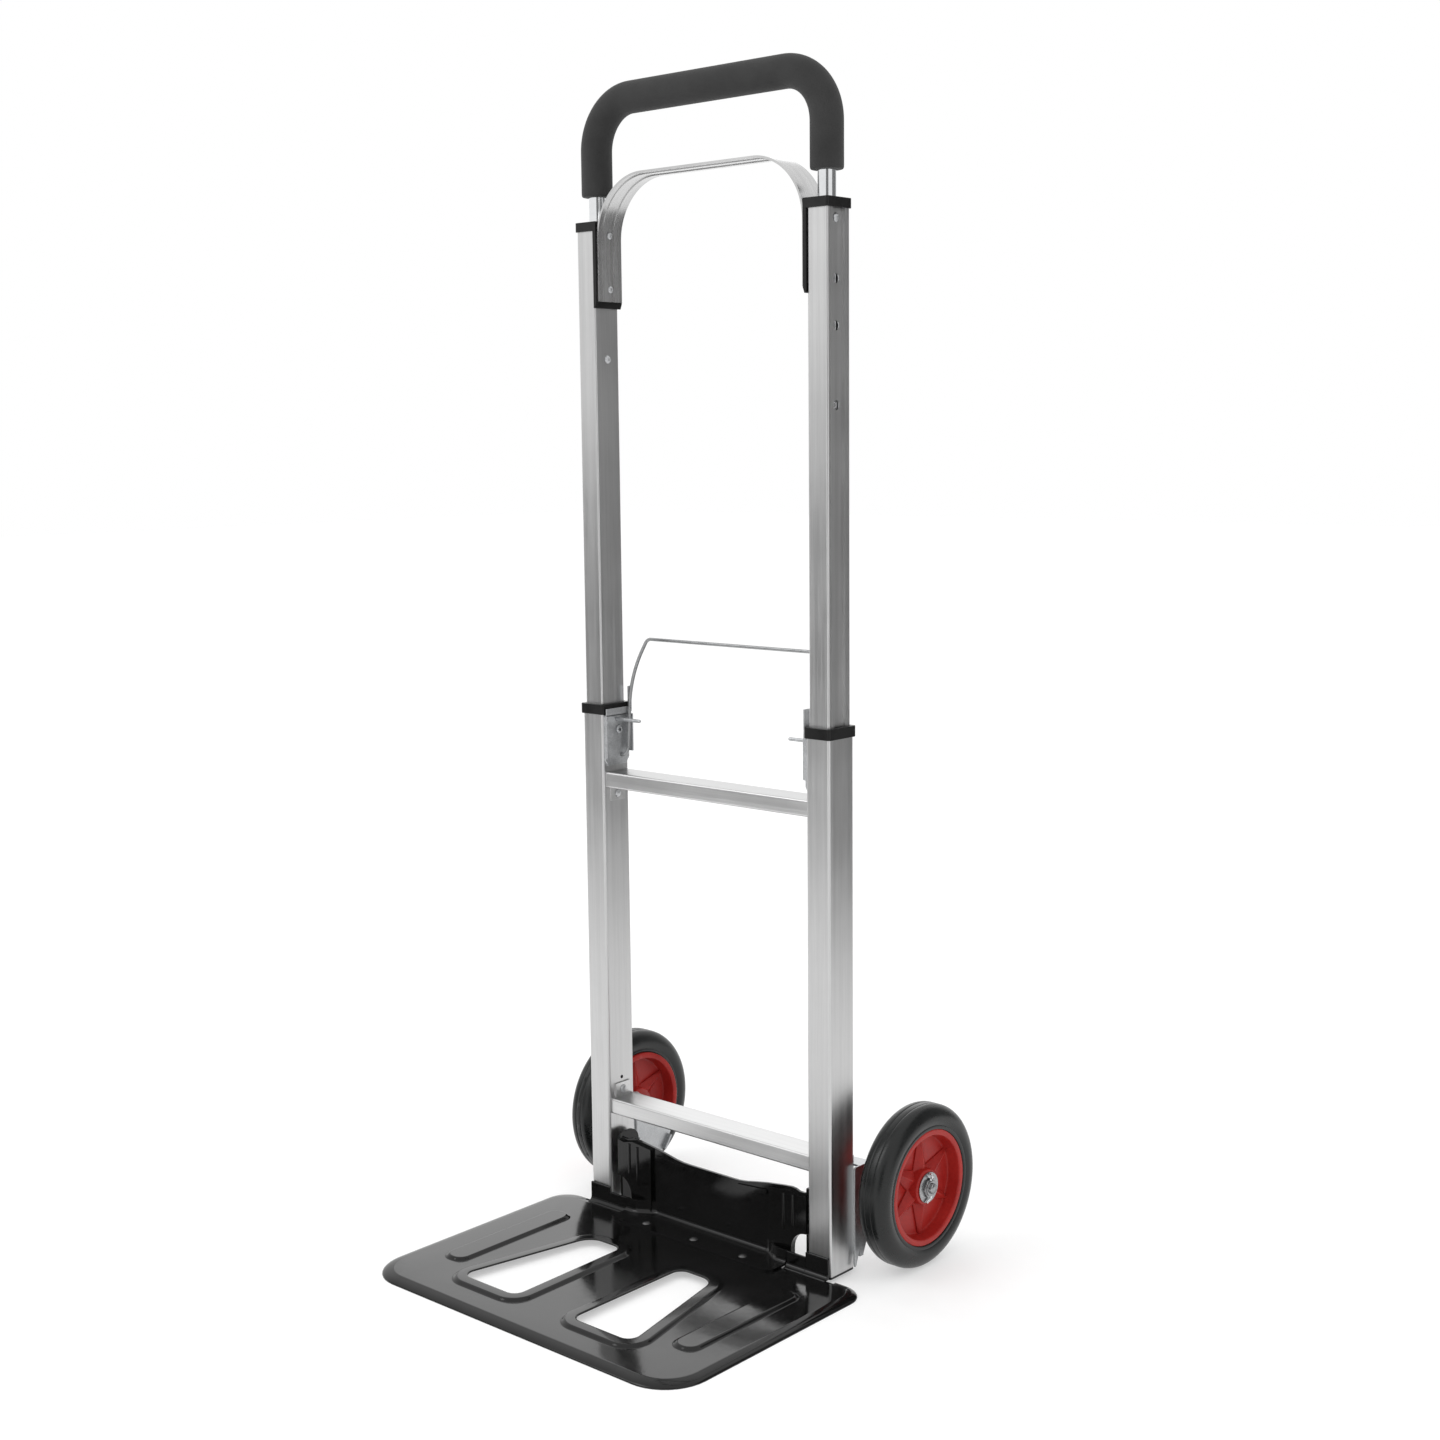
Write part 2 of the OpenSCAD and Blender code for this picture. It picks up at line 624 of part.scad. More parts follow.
module toe_plate_rivets() {
    color(black_paint) in_frame() for (x = [-1, 0, 1] * plate_rivet_x) translate([x, plate_rivet_y, 0]) {
        translate([0, 0, plate_under]) cylinder(r = screw_r, h = sheet_t + 2);
        translate([0, 0, plate_h + 2]) dome(plate_rivet_r, 1.8);
    }
}

// Nylon spacers between the end boxes and the rails
module hinge_bushes() {
    color(black_plastic) in_frame() both_sides() difference() {
        x_rod(hinge_pin_r + 4, box_out, rail_in - fit_gap, hinge_y, hinge_z);
        x_rod(hinge_pin_r + run_gap, box_out - 1, rail_in + 1, hinge_y, hinge_z);
    }
}

// ---------- wheel brackets and wheels ----------

// Folded sheet: side plate that carries the axle, an upper and a lower flange round the
// pivot pin, and a lip along the side plate's lower rear edge
module wheel_bracket_shape() {
    top = wheel_bracket_top;
    low = wheel_bracket_low;
    knuckle = pivot_r + 4.5;
    start = pivot_y - knuckle;
    heel = [axle_back + 17, axle_z - 52];
    toe = [axle_back + 30, axle_z - 34];
    lip_angle = atan2(toe[1] - heel[1], toe[0] - heel[0]);
    difference() {
        union() {
            yz_plate(side_x - wheel_bracket_t, wheel_bracket_t) {
                round_poly([[start, low + 16], [heel[0] - 6, heel[1] - 1.5], heel, toe, [toe[0], axle_z - 18],
                    [axle_back + 7, axle_z + 5.5], [start + 18, top], [start, top]],
                    [1, 3, 2, 6, 8, 10, 6, 0.5]);
                polygon([[start, low], [start + 4.5, low], [start + 12, low + 18], [start, low + 18]]);
            }
            for (z = [low, top - wheel_bracket_t]) translate([0, 0, z]) linear_extrude(wheel_bracket_t) {
                translate([pivot_x, pivot_y]) circle(knuckle);
                polygon([[pivot_x, start], [side_x, start],
                    [side_x, start + (z == low ? 5 : 17)], [pivot_x, pivot_y + knuckle]]);
            }
            translate([side_x - 6, heel[0], heel[1]]) rotate([lip_angle, 0, 0])
                translate([0, 2.5, 0]) cube([6, norm(toe - heel) - 6, wheel_bracket_t]);
        }
        x_rod(axle_r, side_x - 5, side_x + 1, axle_back, axle_z);
        for (z = [low, top - wheel_bracket_t]) translate([pivot_x, pivot_y, z - 1])
            cylinder(r = pivot_r + run_gap, h = wheel_bracket_t + 2);
    }
}
module left_wheel_bracket() { color(zinc) in_frame() side(-1) wheel_bracket_shape(); }
module right_wheel_bracket() { color(zinc) in_frame() side(1) wheel_bracket_shape(); }

nut_t = 7;
washer_gap = 1.4;
axle_end = hub_out + washer_gap + nut_t + 1.8;

// Bolt from inside the bracket, with a cross hole for the cotter pin
module axle_shape() {
    difference() {
        union() {
            x_rod(axle_r, side_x - wheel_bracket_t, axle_end, axle_back, axle_z);
            translate([side_x - wheel_bracket_t - 6, axle_back, axle_z]) rotate([0, 90, 0])
                cylinder(r = axle_r * 1.8, h = 6, $fn = 6);
        }
        translate([axle_end - 3.4, axle_back, axle_z - 10]) cylinder(r = 1.2, h = 20);
    }
}
module left_axle() { color(zinc) in_frame() side(-1) axle_shape(); }
module right_axle() { color(zinc) in_frame() side(1) axle_shape(); }

module washers_shape() {
    difference() {
        union() {
            x_rod(axle_r + 3, side_x, hub_in - fit_gap, axle_back, axle_z);
            x_rod(washer_r, hub_out + 0.2, hub_out + washer_gap, axle_back, axle_z);
        }
        x_rod(axle_r + run_gap, side_x - 1, hub_out + 3, axle_back, axle_z);
    }
}
module left_axle_washers() { color(zinc) in_frame() side(-1) washers_shape(); }
module right_axle_washers() { color(zinc) in_frame() side(1) washers_shape(); }

// Castle nut whose slots take the cotter pin
module axle_nut_shape() {
    translate([hub_out + washer_gap, axle_back, axle_z]) rotate([0, 90, 0]) difference() {
        union() {
            cylinder(r = axle_r * 1.8, h = nut_t * 0.6, $fn = 6);
            cylinder(r = axle_r * 1.45, h = nut_t);
        }
        translate([0, 0, -1]) cylinder(r = axle_r, h = nut_t + 2);
        for (a = [0, 60, 120]) rotate(a) translate([-axle_r * 2, -1.3, nut_t * 0.62])
            cube([axle_r * 4, 2.6, nut_t]);
    }
}
module left_axle_nut() { color(chrome) in_frame() side(-1) axle_nut_shape(); }
module right_axle_nut() { color(chrome) in_frame() side(1) axle_nut_shape(); }

// Pin through the axle's cross hole with an eye above and bent legs below
module cotter_pin_shape() {
    x = axle_end - 3.4;
    reach = axle_r * 1.45 + 2.4;
    translate([x, axle_back, axle_z]) {
        translate([0, 0, -reach]) cylinder(r = 1.1, h = 2 * reach, $fn = 24);
        translate([0, 0, reach + 1.6]) rotate([90, 0, 0]) rotate_extrude()
            translate([2, 0]) circle(0.9, $fn = 16);
        joint_ball([0, 0, -reach], 1.1);
        rod_between([0, 0, -reach], [0, -6.5, -reach - 3], 1.1);
    }
}
module left_cotter_pin() { color(chrome) in_frame() side(-1) cotter_pin_shape(); }
module right_cotter_pin() { color(chrome) in_frame() side(1) cotter_pin_shape(); }

// Turns a profile drawn as [radius, x] round the axle
module on_axle() {
    translate([0, axle_back, axle_z]) rotate([90, 0, 90]) children();
}

// Solid rubber tyre with round shoulders and a shallow tread groove on each side
module tyre_shape() {
    mid = (tyre_in + tyre_out) / 2;
    bore = rim_r + 0.1;
    on_axle() rotate_extrude($fn = 96) difference() {
        union() {
            translate([bore, tyre_in]) square([tyre_r - shoulder_r - bore, tyre_w]);
            translate([bore, tyre_in + shoulder_r]) square([tyre_r - bore, tyre_w - 2 * shoulder_r]);
            for (x = [tyre_in + shoulder_r, tyre_out - shoulder_r])
                translate([tyre_r - shoulder_r, x]) circle(shoulder_r);
        }
        for (x = [mid - 8, mid + 8]) translate([tyre_r + 0.4, x]) circle(1.2, $fn = 16);
        translate([bore - 2 * shoulder_r, tyre_in - 1]) square([2 * shoulder_r, tyre_w + 2]);
    }
}
module left_tyre() { color(rubber) in_frame() side(-1) tyre_shape(); }
module right_tyre() { color(rubber) in_frame() side(1) tyre_shape(); }

// Plastic rim: outer ring, web, hub and six spokes that taper from the hub to the ring
module wheel_rim_shape() {
    mid = (tyre_in + tyre_out) / 2;
    web = 5;
    bore = axle_r + bush_t;
    ring = rim_r - rim_t;
    spoke_h = tyre_w / 2 - 6;
    on_axle() {
        rotate_extrude($fn = 96) {
            translate([ring, tyre_in + 1.5]) square([rim_t, tyre_w - 3]);
            translate([bore, mid - web / 2]) square([rim_r - bore - 1, web]);
            translate([bore, hub_in]) square([hub_r - bore, hub_out - hub_in]);
        }
        for (a = [30:60:330]) rotate(a) translate([0, 0, mid - spoke_h]) linear_extrude(2 * spoke_h)
            polygon([[hub_r - 3, -8], [ring + 1, -1.8], [ring + 1, 1.8], [hub_r - 3, 8]]);
    }
}
module left_wheel_rim() { color(red_plastic) in_frame() side(-1) wheel_rim_shape(); }
module right_wheel_rim() { color(red_plastic) in_frame() side(1) wheel_rim_shape(); }

// Bearing bush pressed into the hub
module wheel_bush_shape() {
    on_axle() rotate_extrude() translate([axle_r + run_gap, hub_in - 0.05])
        square([bush_t - run_gap, hub_out - hub_in + 0.1]);
}
module left_wheel_bush() { color(zinc) in_frame() side(-1) wheel_bush_shape(); }
module right_wheel_bush() { color(zinc) in_frame() side(1) wheel_bush_shape(); }

// ---------- middle stage ----------

// Section of a middle rail: a box with a channel in its outer face
module mid_section() {
    band = channel_w + 2 * mid_wall;
    difference() {
        round_rect(mid_w, mid_d, 2);
        difference() {
            round_rect(mid_w - 2 * mid_wall, mid_d - 2 * mid_wall, 0.8);
            translate([mid_w / 2 - channel_depth - mid_wall, -band / 2]) square([20, band]);
        }
        translate([mid_w / 2 - channel_depth, -channel_w / 2]) square([20, channel_w]);
        for (y = [-1, 1]) translate([mid_w / 2 - 0.5, y * (channel_w / 2 + 4) - 0.5]) square([2, 1]);
    }
}

module middle_rail_shape() {
    difference() {
        translate([rail_x, rail_y, mid_bottom]) linear_extrude(mid_top - mid_bottom) mid_section();
        for (z = [0, hole_step_1, hole_step_2])
            x_rod(button_r + 0.4, floor_in - 1, mid_out + 1, rail_y, button_z + z);
        x_rod(screw_r, floor_in - 1, mid_out + 1, rail_y, cap_top - 17);
        for (z = [rivet_top_z, rivet_low_z, stud_z])
            x_rod(screw_r, mid_in - 1, mid_in + mid_wall + 1, rail_y, z);
    }
}
module left_middle_rail() { color(aluminium) in_frame() side(-1) middle_rail_shape(); }
module right_middle_rail() { color(aluminium) in_frame() side(1) middle_rail_shape(); }

// Plastic sleeves in the middle rails' lower ends, with a shoe that guides the rail
module middle_rail_glides() {
    color(black_plastic) in_frame() both_sides() {
        translate([rail_x, rail_y, mid_bottom - 4]) linear_extrude(4) difference() {
            round_rect(mid_w, mid_d, 2);
            round_rect(mid_w - 8, mid_d - 12, 2);
        }
    }
}

// Cap on a middle rail's top with the tongue that the strap's leg is riveted to
module cap_shape() {
    tongue_d = mid_d + 2 * cap_lip;
    tip = cap_top - cap_h - tongue_h;
    difference() {
        union() {
            translate([0, 0, cap_top - cap_h]) linear_extrude(cap_h) {
                translate([rail_x, rail_y]) round_rect(mid_w + 2 * cap_lip, mid_d + 2 * cap_lip, 3);
                translate([mid_in - tongue_t, rail_y - tongue_d / 2]) square([tongue_t + 2, tongue_d]);
            }
            translate([0, rail_y + tongue_d / 2, 0]) rotate([90, 0, 0]) linear_extrude(tongue_d)
                polygon([[mid_in - tongue_t, cap_top - cap_h + 1], [mid_in, cap_top - cap_h + 1],
                    [mid_in, tip - 1], [mid_in - tongue_t / 2, tip - 1], [mid_in - tongue_t, tip + 4]]);
        }
        translate([rail_x, rail_y, cap_top - cap_h - 1]) linear_extrude(mid_top - cap_top + cap_h + 1)
            round_rect(mid_w, mid_d, 2);
        translate([tube_x, rail_y, cap_top - cap_h]) cylinder(r = tube_r + fit_gap, h = cap_h + 1);
        for (z = [rivet_top_z, rivet_low_z]) x_rod(screw_r, mid_in - tongue_t - 1, mid_in + 1, rail_y, z);
    }
}
module left_cap() { color(black_plastic) in_frame() side(-1) cap_shape(); }
module right_cap() { color(black_plastic) in_frame() side(1) cap_shape(); }

module cap_screws() {
    color(zinc) in_frame() both_sides() {
        x_rod(screw_r, floor_in, floor_out, rail_y, cap_top - 17);
        translate([floor_out, rail_y, cap_top - 17]) rotate([0, 90, 0]) dome(4.4, 2.4);
    }
}

// Section of the strap: flat, with two ribs raised from its inner face
module strap_section() {
    square([strap_t, strap_w]);
    for (y = [strap_w * 0.27, strap_w * 0.73]) translate([-strap_rib, y - 2.5]) square([strap_rib + eps, 5]);
}

module brace_strap() {
    y0 = rail_y - strap_w / 2;
    crown = cap_top + strap_rise;
    bend_z = crown - strap_t - strap_bend;
    bend_x = strap_in - strap_bend;
    color(aluminium) in_frame() difference() {
        union() {
            both_sides() {
                translate([strap_in, y0, strap_bottom]) linear_extrude(bend_z - strap_bottom) strap_section();
                translate([bend_x, y0, bend_z]) rotate([90, 0, 0]) mirror([0, 0, 1])
                    rotate_extrude(angle = 90, $fn = 96) translate([strap_bend, 0]) square([strap_t, strap_w]);
                for (y = [strap_w * 0.27, strap_w * 0.73]) translate([bend_x, y0 + y - 2.5, bend_z])
                    rotate([90, 0, 0]) mirror([0, 0, 1]) rotate_extrude(angle = 90, $fn = 96)
                        translate([strap_bend - strap_rib, 0]) square([strap_rib + eps, 5]);
            }
            translate([-bend_x, y0, crown - strap_t]) rotate([90, 0, 90]) linear_extrude(2 * bend_x) {
                square([strap_w, strap_t]);
                for (y = [strap_w * 0.27, strap_w * 0.73])
                    translate([y - 2.5, -strap_rib]) square([5, strap_rib + eps]);
            }
        }
        both_sides() {
            for (z = [rivet_top_z, rivet_low_z])
                x_rod(screw_r, strap_in - 2, strap_out + 1, rail_y, z);
            // flat seat of the upper rivet's head, where the strap begins to bend
            x_rod(strap_rivet_r + fit_gap, strap_in - 3, strap_in, rail_y, rivet_top_z);
        }
    }
}

module strap_rivets() {
    color(zinc) in_frame() both_sides() for (z = [rivet_top_z, rivet_low_z]) {
        x_rod(screw_r, strap_in, mid_in + mid_wall, rail_y, z);
        translate([strap_in, rail_y, z]) rotate([0, -90, 0]) dome(strap_rivet_r, 1.8);
    }
}

module stop_studs() {
    color(zinc) in_frame() both_sides() {
        x_rod(screw_r, mid_in, mid_in + mid_wall, rail_y, stud_z);
        translate([mid_in, rail_y, stud_z]) rotate([0, -90, 0]) dome(stud_r, 2.4);
    }
}

// ---------- handle ----------

// One side of a tube of radius r round the handle's centre line, from height z0 to the middle
module handle_half(r, z0) {
    bend_z = crown_z - handle_bend;
    bend_x = tube_x - handle_bend;
    translate([tube_x, rail_y, z0]) cylinder(r = r, h = bend_z - z0);
    translate([bend_x, rail_y, bend_z]) rotate([90, 0, 0]) rotate_extrude(angle = 90, $fn = 96)
        translate([handle_bend, 0]) circle(r, $fn = 48);
    x_rod(r, 0, bend_x, rail_y, crown_z);
}

module handle_tube() {
    color(chrome) in_frame() difference() {
        both_sides() handle_half(tube_r, tube_bottom);
        both_sides() handle_half(tube_r - tube_wall, tube_bottom - 1);
        both_sides() x_rod(button_r + run_gap, tube_x, tube_x + tube_r + 1, rail_y, button_z);
    }
}

module handle_grip() {
    color(foam) in_frame() difference() {
        both_sides() handle_half(grip_r, grip_bottom);
        both_sides() handle_half(tube_r, grip_bottom - 1);
    }
}

module handle_tube_plugs() {
    color(black_plastic) in_frame() both_sides() {
        translate([tube_x, rail_y, tube_bottom - 2]) cylinder(r = tube_r, h = 2);
        translate([tube_x, rail_y, tube_bottom - eps]) cylinder(r = tube_r - tube_wall, h = 8);
    }
}

// Leaf springs inside the tube that push the buttons out
module button_springs() {
    r = tube_r - tube_wall;
    color(zinc) in_frame() both_sides() translate([tube_x, rail_y - 2.5, button_z]) {
        translate([-r * 0.8, 0, -5]) cube([0.6, 5, spring_l]);
        translate([-r * 0.8, 0, spring_l - 5.6]) cube([r * 0.8 + 2.4, 5, 0.6]);
        translate([1.8, 0, 6]) cube([0.6, 5, spring_l - 11]);
    }
}

// Domed button that slides in the tube's wall under the lock hole
module handle_button_shape() {
    dome_h = 1.4;
    outer = tube_x + tube_r + tube_gap * 0.6 - dome_h;
    x_rod(button_r, tube_x + 2.9, outer, rail_y, button_z);
    translate([outer, rail_y, button_z]) rotate([0, 90, 0]) dome(button_r, dome_h);
}
module left_handle_button() { color(chrome) in_frame() side(-1) handle_button_shape(); }
module right_handle_button() { color(chrome) in_frame() side(1) handle_button_shape(); }

// ---------- release bail and lock pins ----------

// Points along one side of the bail, from inside its round end to the corner into the top bar
function bail_points() = let (
    lean = bail_lean + bail_curve,
    foot = [bail_y, bail_z] + bail_jog,
    up = bail_jog / norm(bail_jog) * wire_r,
    a = foot + bail_leg * [sin(bail_lean), cos(bail_lean)],
    b = a + bail_curve_r * [cos(bail_lean) - cos(lean), sin(lean) - sin(bail_lean)])
    [
        [bail_x + 2 * wire_r, bail_y, bail_z],
        [bail_x + wire_r, bail_y, bail_z],
        [bail_x, bail_y + up[0], bail_z + up[1]],
        [bail_x, foot[0], foot[1]],
        for (i = [0:8]) let (t = bail_lean + bail_curve * i / 9) [bail_x,
            a[0] + bail_curve_r * (cos(bail_lean) - cos(t)), a[1] + bail_curve_r * (sin(t) - sin(bail_lean))],
        for (t = [0:15:90]) let (s = bail_end + bail_corner * sin(t))
            [bail_x - bail_corner * (1 - cos(t)), b[0] + s * sin(lean), b[1] + s * cos(lean)]
    ];

// Direction from one point of a path to the next
function way(pts, i) = (pts[i + 1] - pts[i]) / norm(pts[i + 1] - pts[i]);

// Where a ring's point v lands on the next mitre plane of the path
function carried(pts, v, i) = let (
    d = way(pts, i),
    n = i + 2 < len(pts) ? d + way(pts, i + 1) : d)
    v + d * ((pts[i + 1] - v) * n) / (d * n);

// Rings of points along a path, each carried on from the one before
function rings(pts, ring, i = 0) = i == len(pts) - 1 ? [ring]
    : concat([ring], rings(pts, [for (v = ring) carried(pts, v, i)], i + 1));

// Flat-sided wire along a path that starts and ends along X
module wire_along(pts, r) {
    sides = 16;
    first = [for (k = [0:sides - 1]) pts[0] + [0, r * cos(360 * k / sides), r * sin(360 * k / sides)]];
    loops = rings(pts, first);
    last = len(loops) - 1;
    polyhedron([for (loop = loops) for (v = loop) v],
        concat(
            [[for (k = [sides - 1:-1:0]) k]],
            [[for (k = [0:sides - 1]) last * sides + k]],
            [for (i = [0:last - 1]) for (k = [0:sides - 1]) let (n = (k + 1) % sides)
                [i * sides + k, i * sides + n, (i + 1) * sides + k]],
            [for (i = [0:last - 1]) for (k = [0:sides - 1]) let (n = (k + 1) % sides)
                [i * sides + n, (i + 1) * sides + n, (i + 1) * sides + k]]));
}

module release_bail() {
    half = bail_points();
    count = len(half);
    color(zinc) in_frame() {
        both_sides() x_rod(wire_r, bail_x + wire_r * 1.5, rail_in - 0.1, bail_y, bail_z);
        wire_along(concat(half, [for (i = [count - 1:-1:0]) [-half[i][0], half[i][1], half[i][2]]]),
            wire_r * 0.985);
    }
}

// Pin through the bracket and the rail's inner wall, with a round inner end
module lock_pin_shape() {
    tip = rail_in + rail_wall - 0.1;
    x_rod(lock_r, tip - lock_len, tip, rail_y, lock_z);
    translate([tip - lock_len, rail_y, lock_z]) sphere(r = lock_r);
}
module left_lock_pin() { color(zinc) in_frame() side(-1) lock_pin_shape(); }
module right_lock_pin() { color(zinc) in_frame() side(1) lock_pin_shape(); }

left_lower_rail();
right_lower_rail();
lower_crossbar();
middle_crossbar();
crossbar_rivets();
left_collar();
right_collar();
rail_foot_plugs();
left_bail_bracket();
right_bail_bracket();
bail_bracket_rivets();
left_pivot_lugs();
right_pivot_lugs();
pivot_lug_rivets();
wheel_pivot_pins();
wheel_fold_springs();
toe_plate_hinge_pins();
toe_plate();
hinge_bracket();
toe_plate_rivets();
hinge_bushes();
left_wheel_bracket();
right_wheel_bracket();
left_axle();
right_axle();
left_axle_washers();
right_axle_washers();
left_axle_nut();
right_axle_nut();
left_cotter_pin();
right_cotter_pin();
left_tyre();
right_tyre();
left_wheel_rim();
right_wheel_rim();
left_wheel_bush();
right_wheel_bush();
left_middle_rail();
right_middle_rail();
middle_rail_glides();
left_cap();
right_cap();
cap_screws();
brace_strap();
strap_rivets();
stop_studs();
handle_tube();
handle_grip();
handle_tube_plugs();
button_springs();
left_handle_button();
right_handle_button();
release_bail();
left_lock_pin();
right_lock_pin();
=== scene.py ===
"""Looks of the folding hand truck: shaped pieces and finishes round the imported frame.

+X right, +Y to the rear (wheels), +Z up; the toe plate points to -Y. Each sub-assembly
is a class that holds its sizes in millimetres, builds its own meshes with edit-mode
steps and dresses them. CAD nodes whose shape is right stay and get softened edges.
Blender works in metres, so every size passes through MM or mm() on its way there.
"""

import json
import logging
import math
from dataclasses import dataclass, replace
from enum import Enum
from typing import Iterable

import bmesh
import bpy
from mathutils import Matrix, Vector

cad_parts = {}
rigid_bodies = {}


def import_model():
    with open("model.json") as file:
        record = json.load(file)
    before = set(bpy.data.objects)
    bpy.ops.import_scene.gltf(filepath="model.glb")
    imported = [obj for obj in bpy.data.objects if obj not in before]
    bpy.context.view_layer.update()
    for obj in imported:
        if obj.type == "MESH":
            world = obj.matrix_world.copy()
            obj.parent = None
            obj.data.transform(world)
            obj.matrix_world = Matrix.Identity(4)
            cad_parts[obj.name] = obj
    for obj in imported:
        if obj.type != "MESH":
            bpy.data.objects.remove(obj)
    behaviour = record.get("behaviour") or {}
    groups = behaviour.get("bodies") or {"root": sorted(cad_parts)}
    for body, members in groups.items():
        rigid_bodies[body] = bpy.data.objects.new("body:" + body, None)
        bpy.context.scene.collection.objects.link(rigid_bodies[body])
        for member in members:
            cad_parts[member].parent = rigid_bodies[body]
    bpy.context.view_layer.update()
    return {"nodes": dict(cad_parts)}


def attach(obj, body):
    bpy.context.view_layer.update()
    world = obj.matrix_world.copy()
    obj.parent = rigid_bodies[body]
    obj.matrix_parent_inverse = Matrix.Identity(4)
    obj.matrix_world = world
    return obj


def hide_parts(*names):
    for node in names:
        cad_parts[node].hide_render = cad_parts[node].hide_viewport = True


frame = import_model()

LOG = logging.getLogger("hand_truck")
MM = 0.001
RAIL_FRONT = 47.15  # the rails' front plane, mm behind the origin
RAIL_MIDDLE = RAIL_FRONT + 17.7  # centre plane of every rail, mm
FULL_TURN = 2 * math.pi
QUARTER_TURN = math.pi / 2
SPIN_WAY = -1.0  # the spin operator turns against the right-hand rule
NEAR = 0.02  # how close an open edge lies to the height it is picked by, mm
OUTLINE_MEET = 0.01  # corners of an outline that are this close become one, mm
FORM_MEET = 0.005  # the same in a finished form, mm
CAD_MEET = 0.002  # the same in a CAD node's loose triangles, mm
SEAM_MEET = 0.05  # the same across the middle plane, mm
NORMAL_WEIGHT = 60  # how far large faces lead the shading of small ones
ROUND_FLATS = 3  # flats in a rounded edge
FLAT_ANGLE = 1.0  # a CAD node's faces that differ by less become one, degrees
CORNER_ANGLE = 30.0  # a CAD node's edges that are sharper are rounded, degrees
SMOOTH_ALL = 180.0  # degrees up to which a form is shaded smooth: a swept one on its way
SMOOTH_SWEPT = 60.0  # a finished swept one
SMOOTH_PRESSED = 40.0  # a pressed or turned one
SMOOTH_CUT = 30.0  # one with crisp edges

Point = tuple[float, float, float]
Flat = tuple[float, float]
Colour = tuple[float, float, float]

UP: Point = (0.0, 0.0, 1.0)
AXLE: Point = (1.0, 0.0, 0.0)


class Slot(Enum):
    """Material slots of the record."""

    RAIL = "rail_aluminium"
    STRAP = "strap_aluminium"
    ZINC = "zinc_steel"
    CHROME = "chrome_bright"
    ENAMEL = "black_enamel"
    PLASTIC = "black_plastic"
    FOAM = "foam_grip"
    RUBBER = "tyre_rubber"
    RED = "red_rim"


class Body(Enum):
    """Moving bodies that new pieces ride on."""

    FRAME = "lower_frame"
    PLATE = "toe_plate_unit"
    LEFT_CARRIER = "left_wheel_carrier"
    RIGHT_CARRIER = "right_wheel_carrier"
    LEFT_WHEEL = "left_wheel"
    RIGHT_WHEEL = "right_wheel"
    HANDLE = "handle"
    BAIL = "bail"


class Skin(Enum):
    """Fine surface relief of a finish."""

    GRAIN = "drawn grain"
    PEEL = "orange peel"
    PORES = "open pores"


class Flow(Enum):
    """Stretch of a grain pattern: which way its lines run."""

    UPRIGHT = (1.0, 1.0, 0.012)
    ACROSS = (0.012, 1.0, 1.0)
    LOOP = (0.015, 1.0, 0.015)
    NONE = (1.0, 1.0, 1.0)


# ---------- points and outlines ----------


def mm(x: float, y: float, z: float) -> Vector:
    """Point in metres from millimetres."""
    return Vector((x, y, z)) * MM


def at_rail(x: float, y: float, z: float) -> Vector:
    """Point in metres from millimetres, its y counted from the rails' front plane."""
    return mm(x, y + RAIL_FRONT, z)


def rounded(corners: list[Flat], radii: list[float], steps: int = 10) -> list[Flat]:
    """Rounds the corners of a flat outline.

    Args:
        corners: corner points in order.
        radii: radius at each corner, 0 where it stays sharp.
        steps: flats in each corner's arc.

    Returns:
        The outline's points, an arc in place of each corner.
    """
    points: list[Flat] = []
    count = len(corners)
    for index, radius in enumerate(radii):
        if radius == 0:
            points.append(corners[index])
            continue
        corner = Vector(corners[index])
        before = (Vector(corners[index - 1]) - corner).normalized()
        after = (Vector(corners[(index + 1) % count]) - corner).normalized()
        half = before.angle(after) / 2
        centre = corner + (before + after).normalized() * (radius / math.sin(half))
        start = corner + before * (radius / math.tan(half)) - centre
        end = corner + after * (radius / math.tan(half)) - centre
        sweep = start.angle_signed(end)
        for step in range(steps + 1):
            turned = Matrix.Rotation(-sweep * step / steps, 2) @ start
            points.append(tuple(centre + turned))
    return points


# ---------- edit-mode work ----------


